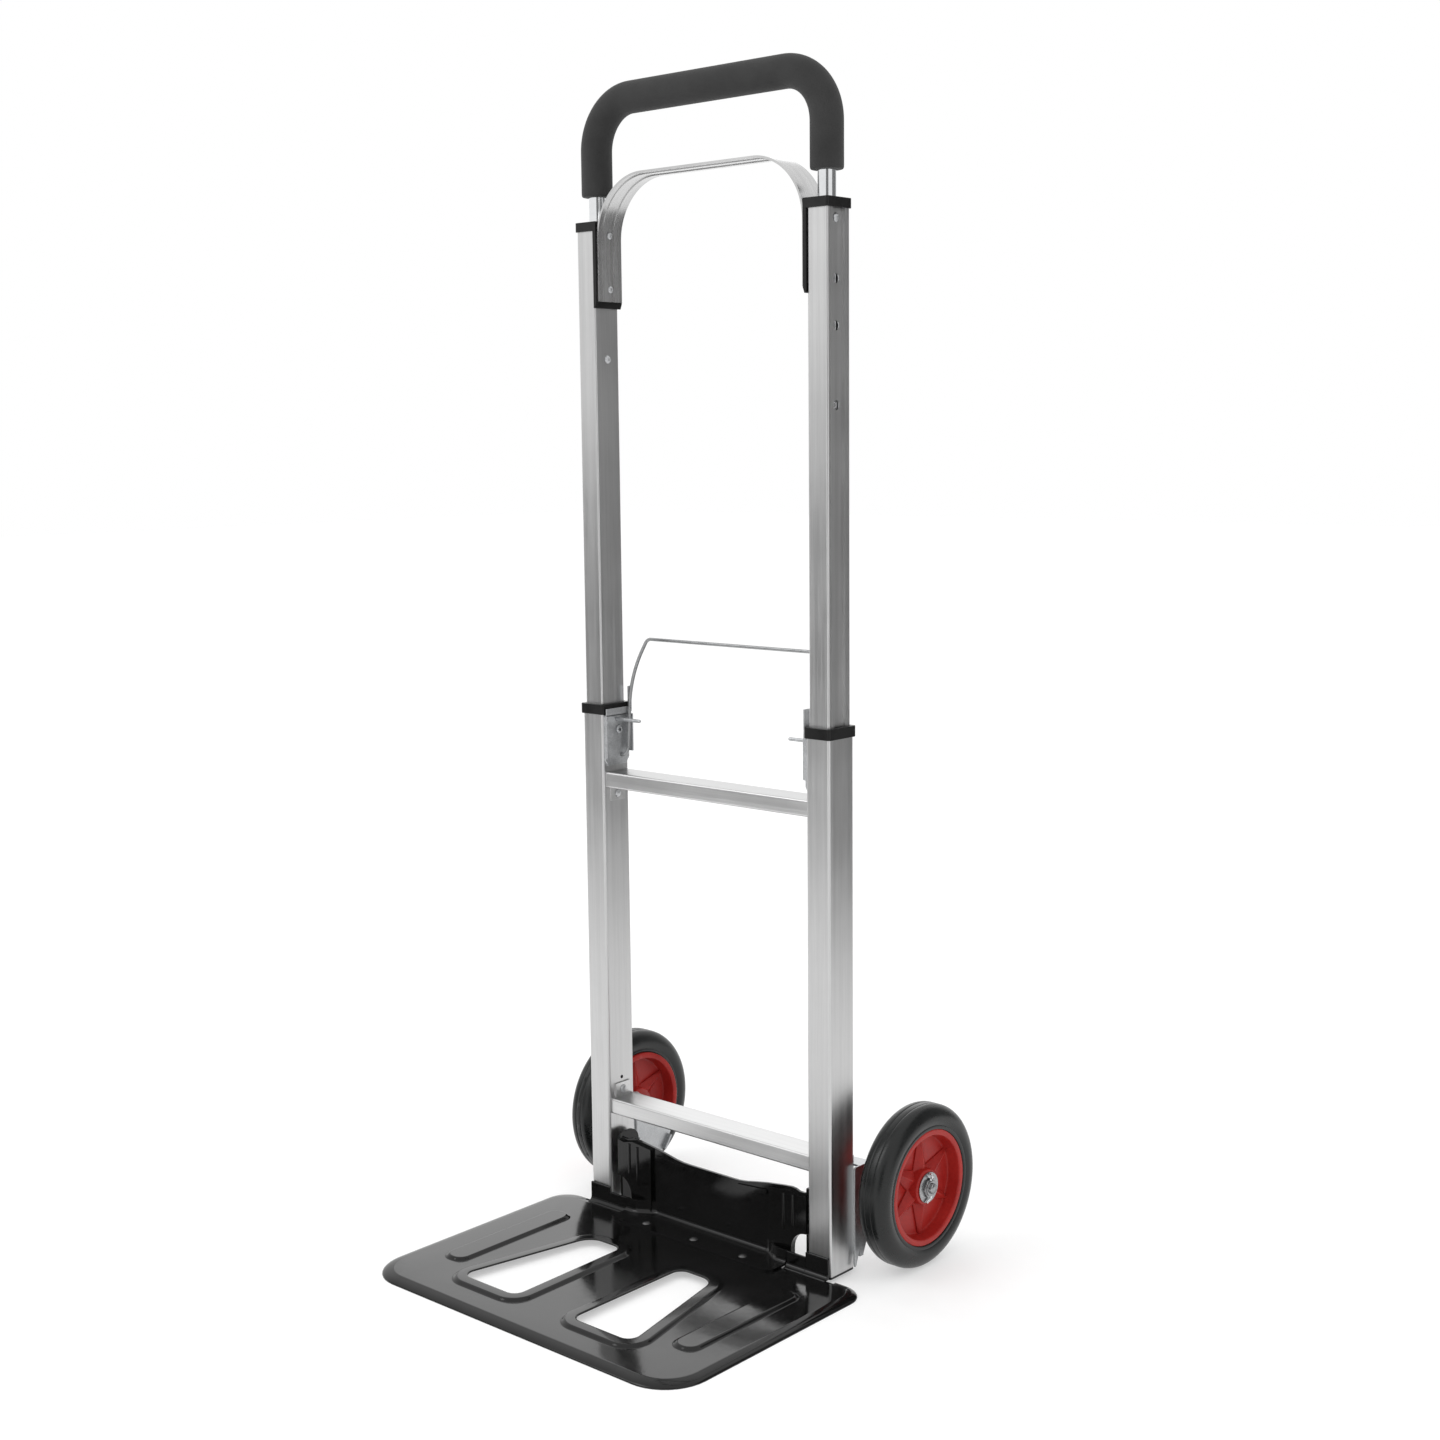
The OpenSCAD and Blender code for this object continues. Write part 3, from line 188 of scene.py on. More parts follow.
class Mould:
    """A new mesh piece that is shaped step by step in edit mode."""

    def __init__(self, name: str) -> None:
        """Starts an empty piece.

        Args:
            name: the piece's name.
        """
        bpy.ops.object.select_all(action="DESELECT")
        bpy.ops.mesh.primitive_plane_add(size=MM)
        self.piece = bpy.context.object
        self.piece.name = name
        bpy.ops.object.mode_set(mode="EDIT")
        bpy.ops.mesh.select_mode(type="VERT")
        bpy.ops.mesh.select_all(action="SELECT")
        bpy.ops.mesh.delete(type="VERT")

    def trace(self, points: Iterable[Vector], facing: Point | None = None) -> None:
        """Draws a closed outline by drawing one vertex out to the next.

        Args:
            points: the outline's corners, in metres.
            facing: rough direction that the filled outline looks in; None leaves it open.
        """
        path = list(points)
        bpy.ops.mesh.select_mode(type="VERT")
        bpy.ops.mesh.select_all(action="DESELECT")
        bpy.ops.mesh.primitive_plane_add(size=MM, location=path[0])
        bpy.ops.mesh.merge(type="CENTER")
        for start, end in zip(path, path[1:] + path[:1]):
            bpy.ops.mesh.extrude_vertices_move(TRANSFORM_OT_translate={"value": end - start})
        bpy.ops.mesh.select_linked()
        bpy.ops.mesh.remove_doubles(threshold=OUTLINE_MEET * MM)
        bpy.ops.mesh.select_mode(type="EDGE")
        if facing is not None:
            bpy.ops.mesh.edge_face_add()
            bpy.ops.mesh.select_mode(type="FACE")
            mesh = bmesh.from_edit_mesh(self.piece.data)
            if any(f.select and f.normal.dot(Vector(facing)) < 0 for f in mesh.faces):
                bpy.ops.mesh.flip_normals()

    def pull(self, way: Vector) -> None:
        """Draws the picked face out by a way in metres."""
        bpy.ops.mesh.extrude_region_move(TRANSFORM_OT_translate={"value": way})

    def draw(self, way: Vector) -> None:
        """Draws the picked edges on by a way in metres."""
        bpy.ops.mesh.extrude_edges_move(TRANSFORM_OT_translate={"value": way})

    def slab(self, outline: Iterable[Vector], out: Vector) -> None:
        """Draws an outline and pulls it out into a solid.

        Args:
            outline: the outline's points, in metres.
            out: the way and length it is pulled, in metres.
        """
        self.trace(outline, tuple(out.normalized()))
        self.pull(out)

    def block(self, low: Point, high: Point) -> None:
        """Adds a box between two corners given in mm."""
        bpy.ops.mesh.primitive_cube_add(
            size=MM, location=mm(*((a + b) / 2 for a, b in zip(low, high))),
            scale=[abs(b - a) for a, b in zip(low, high)])

    def rod(self, middle: Vector, length: float, radius: float, sides: int,
            way: Point = UP) -> None:
        """Adds a round or many-sided rod.

        Args:
            middle: its middle, in metres.
            length: its length in mm.
            radius: its radius in mm.
            sides: how many sides it has.
            way: the direction it lies in, UP or AXLE.
        """
        bpy.ops.mesh.select_all(action="DESELECT")
        bpy.ops.mesh.primitive_cylinder_add(
            vertices=sides, radius=radius * MM, depth=length * MM, location=middle,
            rotation=(0, QUARTER_TURN if way == AXLE else 0, 0))

    def steps(self, profile: Iterable[Flat]) -> None:
        """Insets the picked face again and again.

        Args:
            profile: inward step and rise of each inset, in millimetres.
        """
        for inward, rise in profile:
            bpy.ops.mesh.inset(thickness=inward * MM, depth=rise * MM, use_even_offset=True)

    def pick_rims(self, height: float) -> int:
        """Selects the open edges at a height.

        Args:
            height: the height in mm.

        Returns:
            How many were selected.
        """
        bpy.ops.mesh.select_mode(type="EDGE")
        bpy.ops.mesh.select_all(action="DESELECT")
        mesh = bmesh.from_edit_mesh(self.piece.data)
        found = 0
        for edge in mesh.edges:
            middle = sum(v.co.z for v in edge.verts) / 2
            if abs(middle / MM - height) < NEAR and (edge.is_boundary or edge.is_wire):
                edge.select_set(True)
                found += 1
        bmesh.update_edit_mesh(self.piece.data)
        return found

    def spin(self, centre: Vector, axis: Point, angle: float, count: int) -> None:
        """Turns the picked edges round an axis into a surface."""
        bpy.ops.mesh.spin(steps=count, angle=angle, center=centre, axis=axis)

    def copies_round(self, centre: Vector, axis: Point, count: int) -> None:
        """Repeats the picked part evenly round an axis.

        Args:
            centre: a point on the axis.
            axis: the axis' direction.
            count: how many there are in the end.
        """
        bpy.ops.mesh.spin(steps=count - 1, angle=FULL_TURN * (count - 1) / count,
                          center=centre, axis=axis, dupli=True)

    def settle(self) -> None:
        """Flattens what dips under the ground onto it."""
        bpy.ops.mesh.select_mode(type="VERT")
        bpy.ops.mesh.select_all(action="DESELECT")
        mesh = bmesh.from_edit_mesh(self.piece.data)
        for corner in mesh.verts:
            corner.select_set(corner.co.z < 0)
        bmesh.update_edit_mesh(self.piece.data)
        bpy.ops.transform.resize(value=(1, 1, 0), center_override=(0, 0, 0))

    def close(self) -> None:
        """Merges what meets and turns every face outwards."""
        bpy.ops.mesh.select_mode(type="VERT")
        bpy.ops.mesh.select_all(action="SELECT")
        bpy.ops.mesh.remove_doubles(threshold=FORM_MEET * MM)
        bpy.ops.mesh.normals_make_consistent(inside=False)

    def done(self, smooth: float = SMOOTH_CUT) -> bpy.types.Object:
        """Leaves edit mode and sets smooth shading up to an angle.

        Args:
            smooth: the largest angle in degrees that is shaded smooth.

        Returns:
            The finished object.
        """
        bpy.ops.object.mode_set(mode="OBJECT")
        bpy.ops.object.shade_smooth_by_angle(angle=math.radians(smooth))
        return self.piece

    def done_mirrored(self) -> bpy.types.Object:
        """Makes the half piece whole across the middle plane and leaves edit mode.

        Returns:
            The finished object.
        """
        add_modifier(self.done(SMOOTH_ALL), "MIRROR", use_axis=(True, False, False),
                     merge_threshold=SEAM_MEET * MM)
        bpy.ops.object.mode_set(mode="EDIT")
        self.close()
        return self.done(SMOOTH_SWEPT)


def add_modifier(piece: bpy.types.Object, kind: str, live: bool = False, **values: object) -> None:
    """Adds a modifier with its values and applies it.

    Args:
        piece: the object it goes on.
        kind: the modifier's type.
        live: whether it stays unapplied.
        values: the modifier's settings.
    """
    modifier = piece.modifiers.new(kind.title(), kind)
    for key, value in values.items():
        setattr(modifier, key, value)
    if not live:
        bpy.ops.object.select_all(action="DESELECT")
        piece.select_set(True)
        bpy.context.view_layer.objects.active = piece
        bpy.ops.object.modifier_apply(modifier=modifier.name)


def ease(piece: bpy.types.Object, width: float, angle: float,
         flats: int = ROUND_FLATS) -> bpy.types.Object:
    """Rounds a new piece's edges and evens out its shading.

    Args:
        piece: the new piece.
        width: the rounded edges' width in mm.
        angle: the smallest angle in degrees that is rounded.
        flats: flats in each rounded edge.

    Returns:
        The piece.
    """
    add_modifier(piece, "BEVEL", width=width * MM, segments=flats, limit_method="ANGLE",
                 angle_limit=math.radians(angle))
    add_modifier(piece, "WEIGHTED_NORMAL", keep_sharp=False, weight=NORMAL_WEIGHT)
    return piece


def soften(piece: bpy.types.Object, width: float) -> None:
    """Rounds a kept CAD node's sharp edges while it is shown, and evens out its shading.

    Args:
        piece: the CAD node's object.
        width: the rounded edges' width in mm, 0 where they stay sharp.
    """
    add_modifier(piece, "WELD", live=True, merge_threshold=CAD_MEET * MM)
    if width > 0:
        add_modifier(piece, "DECIMATE", live=True, decimate_type="DISSOLVE",
                     angle_limit=math.radians(FLAT_ANGLE))
        add_modifier(piece, "BEVEL", live=True, width=width * MM, segments=ROUND_FLATS,
                     limit_method="ANGLE", angle_limit=math.radians(CORNER_ANGLE),
                     use_clamp_overlap=True, harden_normals=True)
    add_modifier(piece, "WEIGHTED_NORMAL", live=True, keep_sharp=False, weight=NORMAL_WEIGHT)


def mirrored(piece: bpy.types.Object, name: str) -> bpy.types.Object:
    """Copies a right-hand piece to the left, with its own mesh.

    Args:
        piece: the piece on the right.
        name: the copy's name.

    Returns:
        The copy.
    """
    bpy.ops.object.select_all(action="DESELECT")
    piece.select_set(True)
    bpy.context.view_layer.objects.active = piece
    bpy.ops.object.duplicate()
    twin = bpy.context.object
    twin.name = name
    twin.scale = (-1, 1, 1)
    bpy.ops.object.transform_apply(location=True, rotation=True, scale=True)
    bpy.ops.object.mode_set(mode="EDIT")
    bpy.ops.mesh.select_all(action="SELECT")
    bpy.ops.mesh.normals_make_consistent(inside=False)
    bpy.ops.object.mode_set(mode="OBJECT")
    return twin


# ---------- shader groups ----------


class Board:
    """Short ways to add and join nodes in one tree."""

    def __init__(self, tree: bpy.types.NodeTree) -> None:
        """Works on the given tree."""
        self.tree = tree

    def node(self, kind: str, links: dict[str | int, object] | None = None,
             **settings: object) -> bpy.types.Node:
        """Adds a node.

        Args:
            kind: the node's type, without the ShaderNode prefix where it has one.
            links: values or output sockets for its inputs, by name or number.
            settings: the node's own properties, set before its inputs.

        Returns:
            The node.
        """
        made = self.tree.nodes.new(kind if kind.startswith("Node") else "ShaderNode" + kind)
        for key, value in settings.items():
            setattr(made, key, value)
        for key, value in (links or {}).items():
            target = made.inputs[key]
            if isinstance(value, bpy.types.NodeSocket):
                self.tree.links.new(value, target)
            else:
                target.default_value = value
        return made

    def ramp(self, value: bpy.types.NodeSocket, low: object, high: object,
             to_low: object = 0.0, to_high: object = 1.0) -> bpy.types.NodeSocket:
        """Maps a value smoothly from one range to another."""
        return self.node("MapRange", {0: value, 1: low, 2: high, 3: to_low, 4: to_high},
                         interpolation_type="SMOOTHSTEP").outputs[0]

    def mix(self, share: object, one: object, two: object) -> bpy.types.NodeSocket:
        """Mixes two colours by a share."""
        return self.node("Mix", {0: share, 6: one, 7: two}, data_type="RGBA").outputs[2]

    def maths(self, way: str, one: object, two: object,
              three: object = 0.0) -> bpy.types.NodeSocket:
        """Joins two or three values by one operation."""
        return self.node("Math", {0: one, 1: two, 2: three}, operation=way).outputs[0]

    def noise(self, place: object, scale: object, detail: float,
              roughness: float = 0.5) -> bpy.types.NodeSocket:
        """Adds a cloudy noise."""
        return self.node("TexNoise", {"Vector": place, "Scale": scale, "Detail": detail,
                                      "Roughness": roughness}).outputs[0]

    def cells(self, place: object, scale: object, feature: str = "F1") -> bpy.types.NodeSocket:
        """Adds the distance from the middles of scattered cells."""
        return self.node("TexVoronoi", {"Vector": place, "Scale": scale},
                         feature=feature).outputs[0]

    def give(self, **outputs: bpy.types.NodeSocket) -> bpy.types.NodeTree:
        """Ends a group by joining its outputs, and returns it."""
        self.node("NodeGroupOutput", outputs)
        return self.tree


def start_group(name: str, inputs: dict[str, float],
                outputs: Iterable[str]) -> tuple[Board, bpy.types.NodeOutputs]:
    """Starts a node group with a vector input, float inputs and float outputs.

    Args:
        name: the group's name.
        inputs: float inputs and their usual values.
        outputs: float outputs.

    Returns:
        The board and the group's inputs.
    """
    tree = bpy.data.node_groups.new(name, "ShaderNodeTree")
    tree.interface.new_socket(name="Place", in_out="INPUT", socket_type="NodeSocketVector")
    for key, value in inputs.items():
        made = tree.interface.new_socket(name=key, in_out="INPUT", socket_type="NodeSocketFloat")
        made.default_value = value
    for key in outputs:
        tree.interface.new_socket(name=key, in_out="OUTPUT", socket_type="NodeSocketFloat")
    board = Board(tree)
    return board, board.node("NodeGroupInput").outputs


def clouds_group() -> bpy.types.NodeTree:
    """Soft patches, for uneven colour and sheen.

    Returns:
        The group.
    """
    board, given = start_group("Clouds", {"Size": 20.0, "Contrast": 0.2}, ["Mask"])
    patches = board.noise(given["Place"], given["Size"], 4.0, 0.55)
    low = board.maths("SUBTRACT", 0.5, given["Contrast"])
    high = board.maths("ADD", 0.5, given["Contrast"])
    return board.give(Mask=board.ramp(patches, low, high))


def specks_group() -> bpy.types.NodeTree:
    """Small scattered dots, for dust, scuffs and pits.

    Returns:
        The group.
    """
    board, given = start_group("Specks", {"Size": 400.0, "Amount": 0.1}, ["Mask"])
    cells = board.cells(given["Place"], given["Size"])
    reach = board.maths("MULTIPLY", given["Amount"], board.noise(given["Place"], 30.0, 2.0))
    full = board.maths("MULTIPLY", reach, 0.4)
    return board.give(Mask=board.ramp(cells, full, reach, 1.0, 0.0))


def grain_group() -> bpy.types.NodeTree:
    """Fine lines of drawn or rolled metal; the place comes in already stretched.

    Returns:
        The group.
    """
    board, given = start_group("Grain", {"Size": 900.0}, ["Height", "Mask"])
    broad_size = board.maths("MULTIPLY", given["Size"], 0.12)
    fine = board.noise(given["Place"], given["Size"], 3.0, 0.6)
    broad = board.noise(given["Place"], broad_size, 2.0)
    both = board.maths("MULTIPLY", board.maths("ADD", fine, broad), 0.5)
    return board.give(Height=fine, Mask=board.ramp(both, 0.36, 0.64))


def peel_group() -> bpy.types.NodeTree:
    """Slow ripple of sprayed paint or moulded plastic with a finer tooth.

    Returns:
        The group.
    """
    board, given = start_group("Peel", {"Size": 250.0}, ["Height", "Mask"])
    tooth_size = board.maths("MULTIPLY", given["Size"], 7.0)
    slow = board.noise(given["Place"], given["Size"], 1.0)
    tooth = board.noise(given["Place"], tooth_size, 2.0)
    height = board.maths("MULTIPLY_ADD", tooth, 0.25, slow)
    return board.give(Height=height, Mask=board.ramp(slow, 0.35, 0.65))


def pores_group() -> bpy.types.NodeTree:
    """Pits between rounded cells, as in cut foam.

    Returns:
        The group.
    """
    board, given = start_group("Pores", {"Size": 900.0}, ["Height", "Mask"])
    tooth_size = board.maths("MULTIPLY", given["Size"], 1.6)
    cells = board.cells(given["Place"], given["Size"], "SMOOTH_F1")
    tooth = board.noise(given["Place"], tooth_size, 3.0)
    height = board.maths("MULTIPLY_ADD", cells, -0.8, tooth)
    return board.give(Height=height, Mask=board.ramp(height, -0.3, 0.4))


class Effects:
    """The shared groups, each built once."""

    def __init__(self) -> None:
        """Builds every group."""
        self.clouds = clouds_group()
        self.specks = specks_group()
        self.skins = {Skin.GRAIN: grain_group(), Skin.PEEL: peel_group(), Skin.PORES: pores_group()}


# ---------- finishes ----------


@dataclass(frozen=True)
class Finish:
    """One finish: its colours, gloss and fine relief; pattern sizes count up per metre."""

    name: str
    slot: Slot
    dark: Colour
    light: Colour
    gloss: Flat  # roughness where the patches are low and high
    metallic: float = 0.0
    skin: Skin = Skin.PEEL
    flow: Flow = Flow.NONE
    skin_size: float = 300.0
    relief: float = 0.02  # depth of the fine relief, mm
    skin_tint: float = 0.3  # share of the relief's mask in the colour
    cloud_size: float = 18.0
    cloud_contrast: float = 0.22
    speck_size: float = 500.0
    speck_amount: float = 0.0
    speck_colour: Colour = (0.5, 0.5, 0.5)
    ior: float = 1.5
    sheen: float = 0.0
    edge_tint: float = 1.0  # strength of a metal's reflection at a grazing angle
    glow: float = 0.0

    def material(self, effects: Effects) -> bpy.types.Material:
        """Builds the finish's material.

        Args:
            effects: the shared shader groups.

        Returns:
            The material.
        """
        made = bpy.data.materials.new(self.name)
        made.use_nodes = True
        board = Board(made.node_tree)
        board.tree.nodes.clear()
        place = board.node("TexCoord").outputs["Object"]
        stretched = board.node("Mapping", {"Vector": place, "Scale": self.flow.value}).outputs[0]
        skin = board.node("Group", {"Place": stretched, "Size": self.skin_size},
                          node_tree=effects.skins[self.skin]).outputs
        patches = board.node("Group", {"Place": place, "Size": self.cloud_size,
                                       "Contrast": self.cloud_contrast},
                             node_tree=effects.clouds).outputs
        share = board.node("Mix", {0: self.skin_tint, 2: patches["Mask"],
                                   3: skin["Mask"]}).outputs[0]
        colour = board.mix(share, (*self.dark, 1), (*self.light, 1))
        if self.speck_amount > 0:
            specks = board.node("Group", {"Place": place, "Size": self.speck_size,
                                          "Amount": self.speck_amount},
                                node_tree=effects.specks).outputs
            colour = board.mix(specks["Mask"], colour, (*self.speck_colour, 1))
        bump = board.node("Bump", {"Height": skin["Height"], "Distance": self.relief * MM,
                                   "Strength": 1.0})
        shader = board.node("BsdfPrincipled", {
            "Base Color": colour, "Roughness": board.ramp(share, 0.0, 1.0, *self.gloss),
            "Metallic": self.metallic, "Normal": bump.outputs[0], "IOR": self.ior,
            "Sheen Weight": self.sheen,
            "Specular Tint": (self.edge_tint, self.edge_tint, self.edge_tint, 1),
            "Emission Color": colour, "Emission Strength": self.glow})
        board.node("OutputMaterial", {"Surface": shader.outputs[0]})
        return made


RAIL = Finish("rail_satin", Slot.RAIL, (0.54, 0.54, 0.54), (0.66, 0.66, 0.66), (0.28, 0.37),
              metallic=1.0, skin=Skin.GRAIN, flow=Flow.UPRIGHT, skin_size=1400.0, relief=0.004,
              skin_tint=0.6, cloud_size=9.0)
BAR = Finish("bar_satin", Slot.RAIL, (0.60, 0.60, 0.60), (0.74, 0.74, 0.74), (0.28, 0.40),
             metallic=1.0, skin=Skin.GRAIN, flow=Flow.ACROSS, skin_size=1400.0, relief=0.006,
             skin_tint=0.6, cloud_size=9.0, edge_tint=0.60)
STRAP = Finish("strap_rolled", Slot.STRAP, (0.50, 0.50, 0.50), (0.66, 0.66, 0.66), (0.22, 0.32),
               metallic=1.0, skin=Skin.GRAIN, flow=Flow.LOOP, skin_size=1600.0, relief=0.006,
               skin_tint=0.6, cloud_size=14.0)
ZINC = Finish("zinc_plate", Slot.ZINC, (0.42, 0.43, 0.44), (0.62, 0.63, 0.64), (0.38, 0.52),
              metallic=1.0, skin_size=700.0, relief=0.01, skin_tint=0.4, cloud_size=60.0)
WIRE = Finish("drawn_wire", Slot.ZINC, (0.30, 0.305, 0.31), (0.42, 0.425, 0.43), (0.26, 0.36),
              metallic=1.0, skin_size=900.0, relief=0.006, skin_tint=0.4, cloud_size=60.0)
CHROME = Finish("bright_chrome", Slot.CHROME, (0.70, 0.71, 0.72), (0.80, 0.81, 0.82), (0.05, 0.11),
                metallic=1.0, skin_size=500.0, relief=0.002, cloud_size=40.0)
STEEL = Finish("plated_steel", Slot.CHROME, (0.26, 0.265, 0.27), (0.42, 0.425, 0.43), (0.18, 0.30),
               metallic=1.0, skin_size=600.0, relief=0.006, skin_tint=0.4, cloud_size=70.0)
WASHER_STEEL = replace(STEEL, slot=Slot.ZINC)
ENAMEL = Finish("black_enamel", Slot.ENAMEL, (0.003, 0.003, 0.003), (0.006, 0.006, 0.006),
                (0.08, 0.15), skin_size=220.0, relief=0.012, skin_tint=0.25, cloud_size=25.0,
                ior=1.42, speck_size=900.0, speck_amount=0.08, speck_colour=(0.05, 0.05, 0.05))
RIVET = Finish("dark_rivet", Slot.ENAMEL, (0.03, 0.03, 0.03), (0.06, 0.06, 0.06), (0.16, 0.26),
               skin_size=500.0, relief=0.01, cloud_size=60.0, ior=1.9)
PLASTIC = Finish("black_moulding", Slot.PLASTIC, (0.004, 0.004, 0.004), (0.008, 0.008, 0.008),
                 (0.28, 0.40), skin_size=600.0, cloud_size=60.0, ior=1.36)
FOAM = Finish("grip_foam", Slot.FOAM, (0.014, 0.014, 0.014), (0.038, 0.038, 0.038), (0.74, 0.88),
              skin=Skin.PORES, skin_size=1500.0, relief=0.10, skin_tint=0.55, cloud_size=30.0,
              sheen=0.08, ior=1.38)
RUBBER = Finish("solid_rubber", Slot.RUBBER, (0.004, 0.005, 0.005), (0.009, 0.010, 0.010),
                (0.27, 0.38), skin_size=500.0, relief=0.03, skin_tint=0.35, cloud_size=22.0,
                speck_amount=0.16, speck_colour=(0.03, 0.03, 0.03), ior=1.44)
RED = Finish("red_moulding", Slot.RED, (0.28, 0.012, 0.010), (0.38, 0.022, 0.017), (0.28, 0.40),
             skin_size=420.0, relief=0.015, cloud_size=40.0, ior=1.32)
FLOOR = Finish("pale_floor", Slot.PLASTIC, (0.58, 0.58, 0.58), (0.60, 0.60, 0.60), (0.80, 0.90),
               skin_size=40.0, cloud_size=2.0, glow=0.72)
CARD = Finish("grey_card", Slot.PLASTIC, (0.17, 0.17, 0.17), (0.20, 0.20, 0.20), (0.85, 0.9),
              skin_size=40.0, cloud_size=2.0)


class Wardrobe:
    """Builds each finish's material once and puts it on pieces."""

    def __init__(self) -> None:
        """Starts with the shared effects and no materials."""
        self.effects = Effects()
        self.made: dict[str, bpy.types.Material] = {}

    def dress(self, piece: bpy.types.Object, finish: Finish) -> None:
        """Puts a finish on a piece in place of what it had.

        Args:
            piece: the piece.
            finish: its finish.
        """
        if finish.name not in self.made:
            self.made[finish.name] = finish.material(self.effects)
        piece.data.materials.clear()
        piece.data.materials.append(self.made[finish.name])

    def dress_node(self, node: str, finish: Finish, edge: float = 0.0) -> None:
        """Dresses a kept CAD node and softens its edges.

        Args:
            node: the CAD node's name.
            finish: its finish.
            edge: the width of its rounded edges in mm, 0 where they stay sharp.
        """
        piece = frame["nodes"][node]
        self.dress(piece, finish)
        soften(piece, edge)
        LOG.info("kept %s with %s", node, finish.name)

    def hand_over(self, piece: bpy.types.Object, finish: Finish, body: Body, *nodes: str) -> None:
        """Dresses a new piece and lets it ride on its body in place of CAD nodes.

        Args:
            piece: the new piece.
            finish: its finish, which also says its material slot.
            body: the body it moves with.
            nodes: the CAD nodes it stands for.
        """
        self.dress(piece, finish)
        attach(piece, body.value)
        if nodes:
            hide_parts(*nodes)
        LOG.info("%s: %d faces on %s", piece.name, len(piece.data.polygons), body.value)


# ---------- sub-assemblies ----------


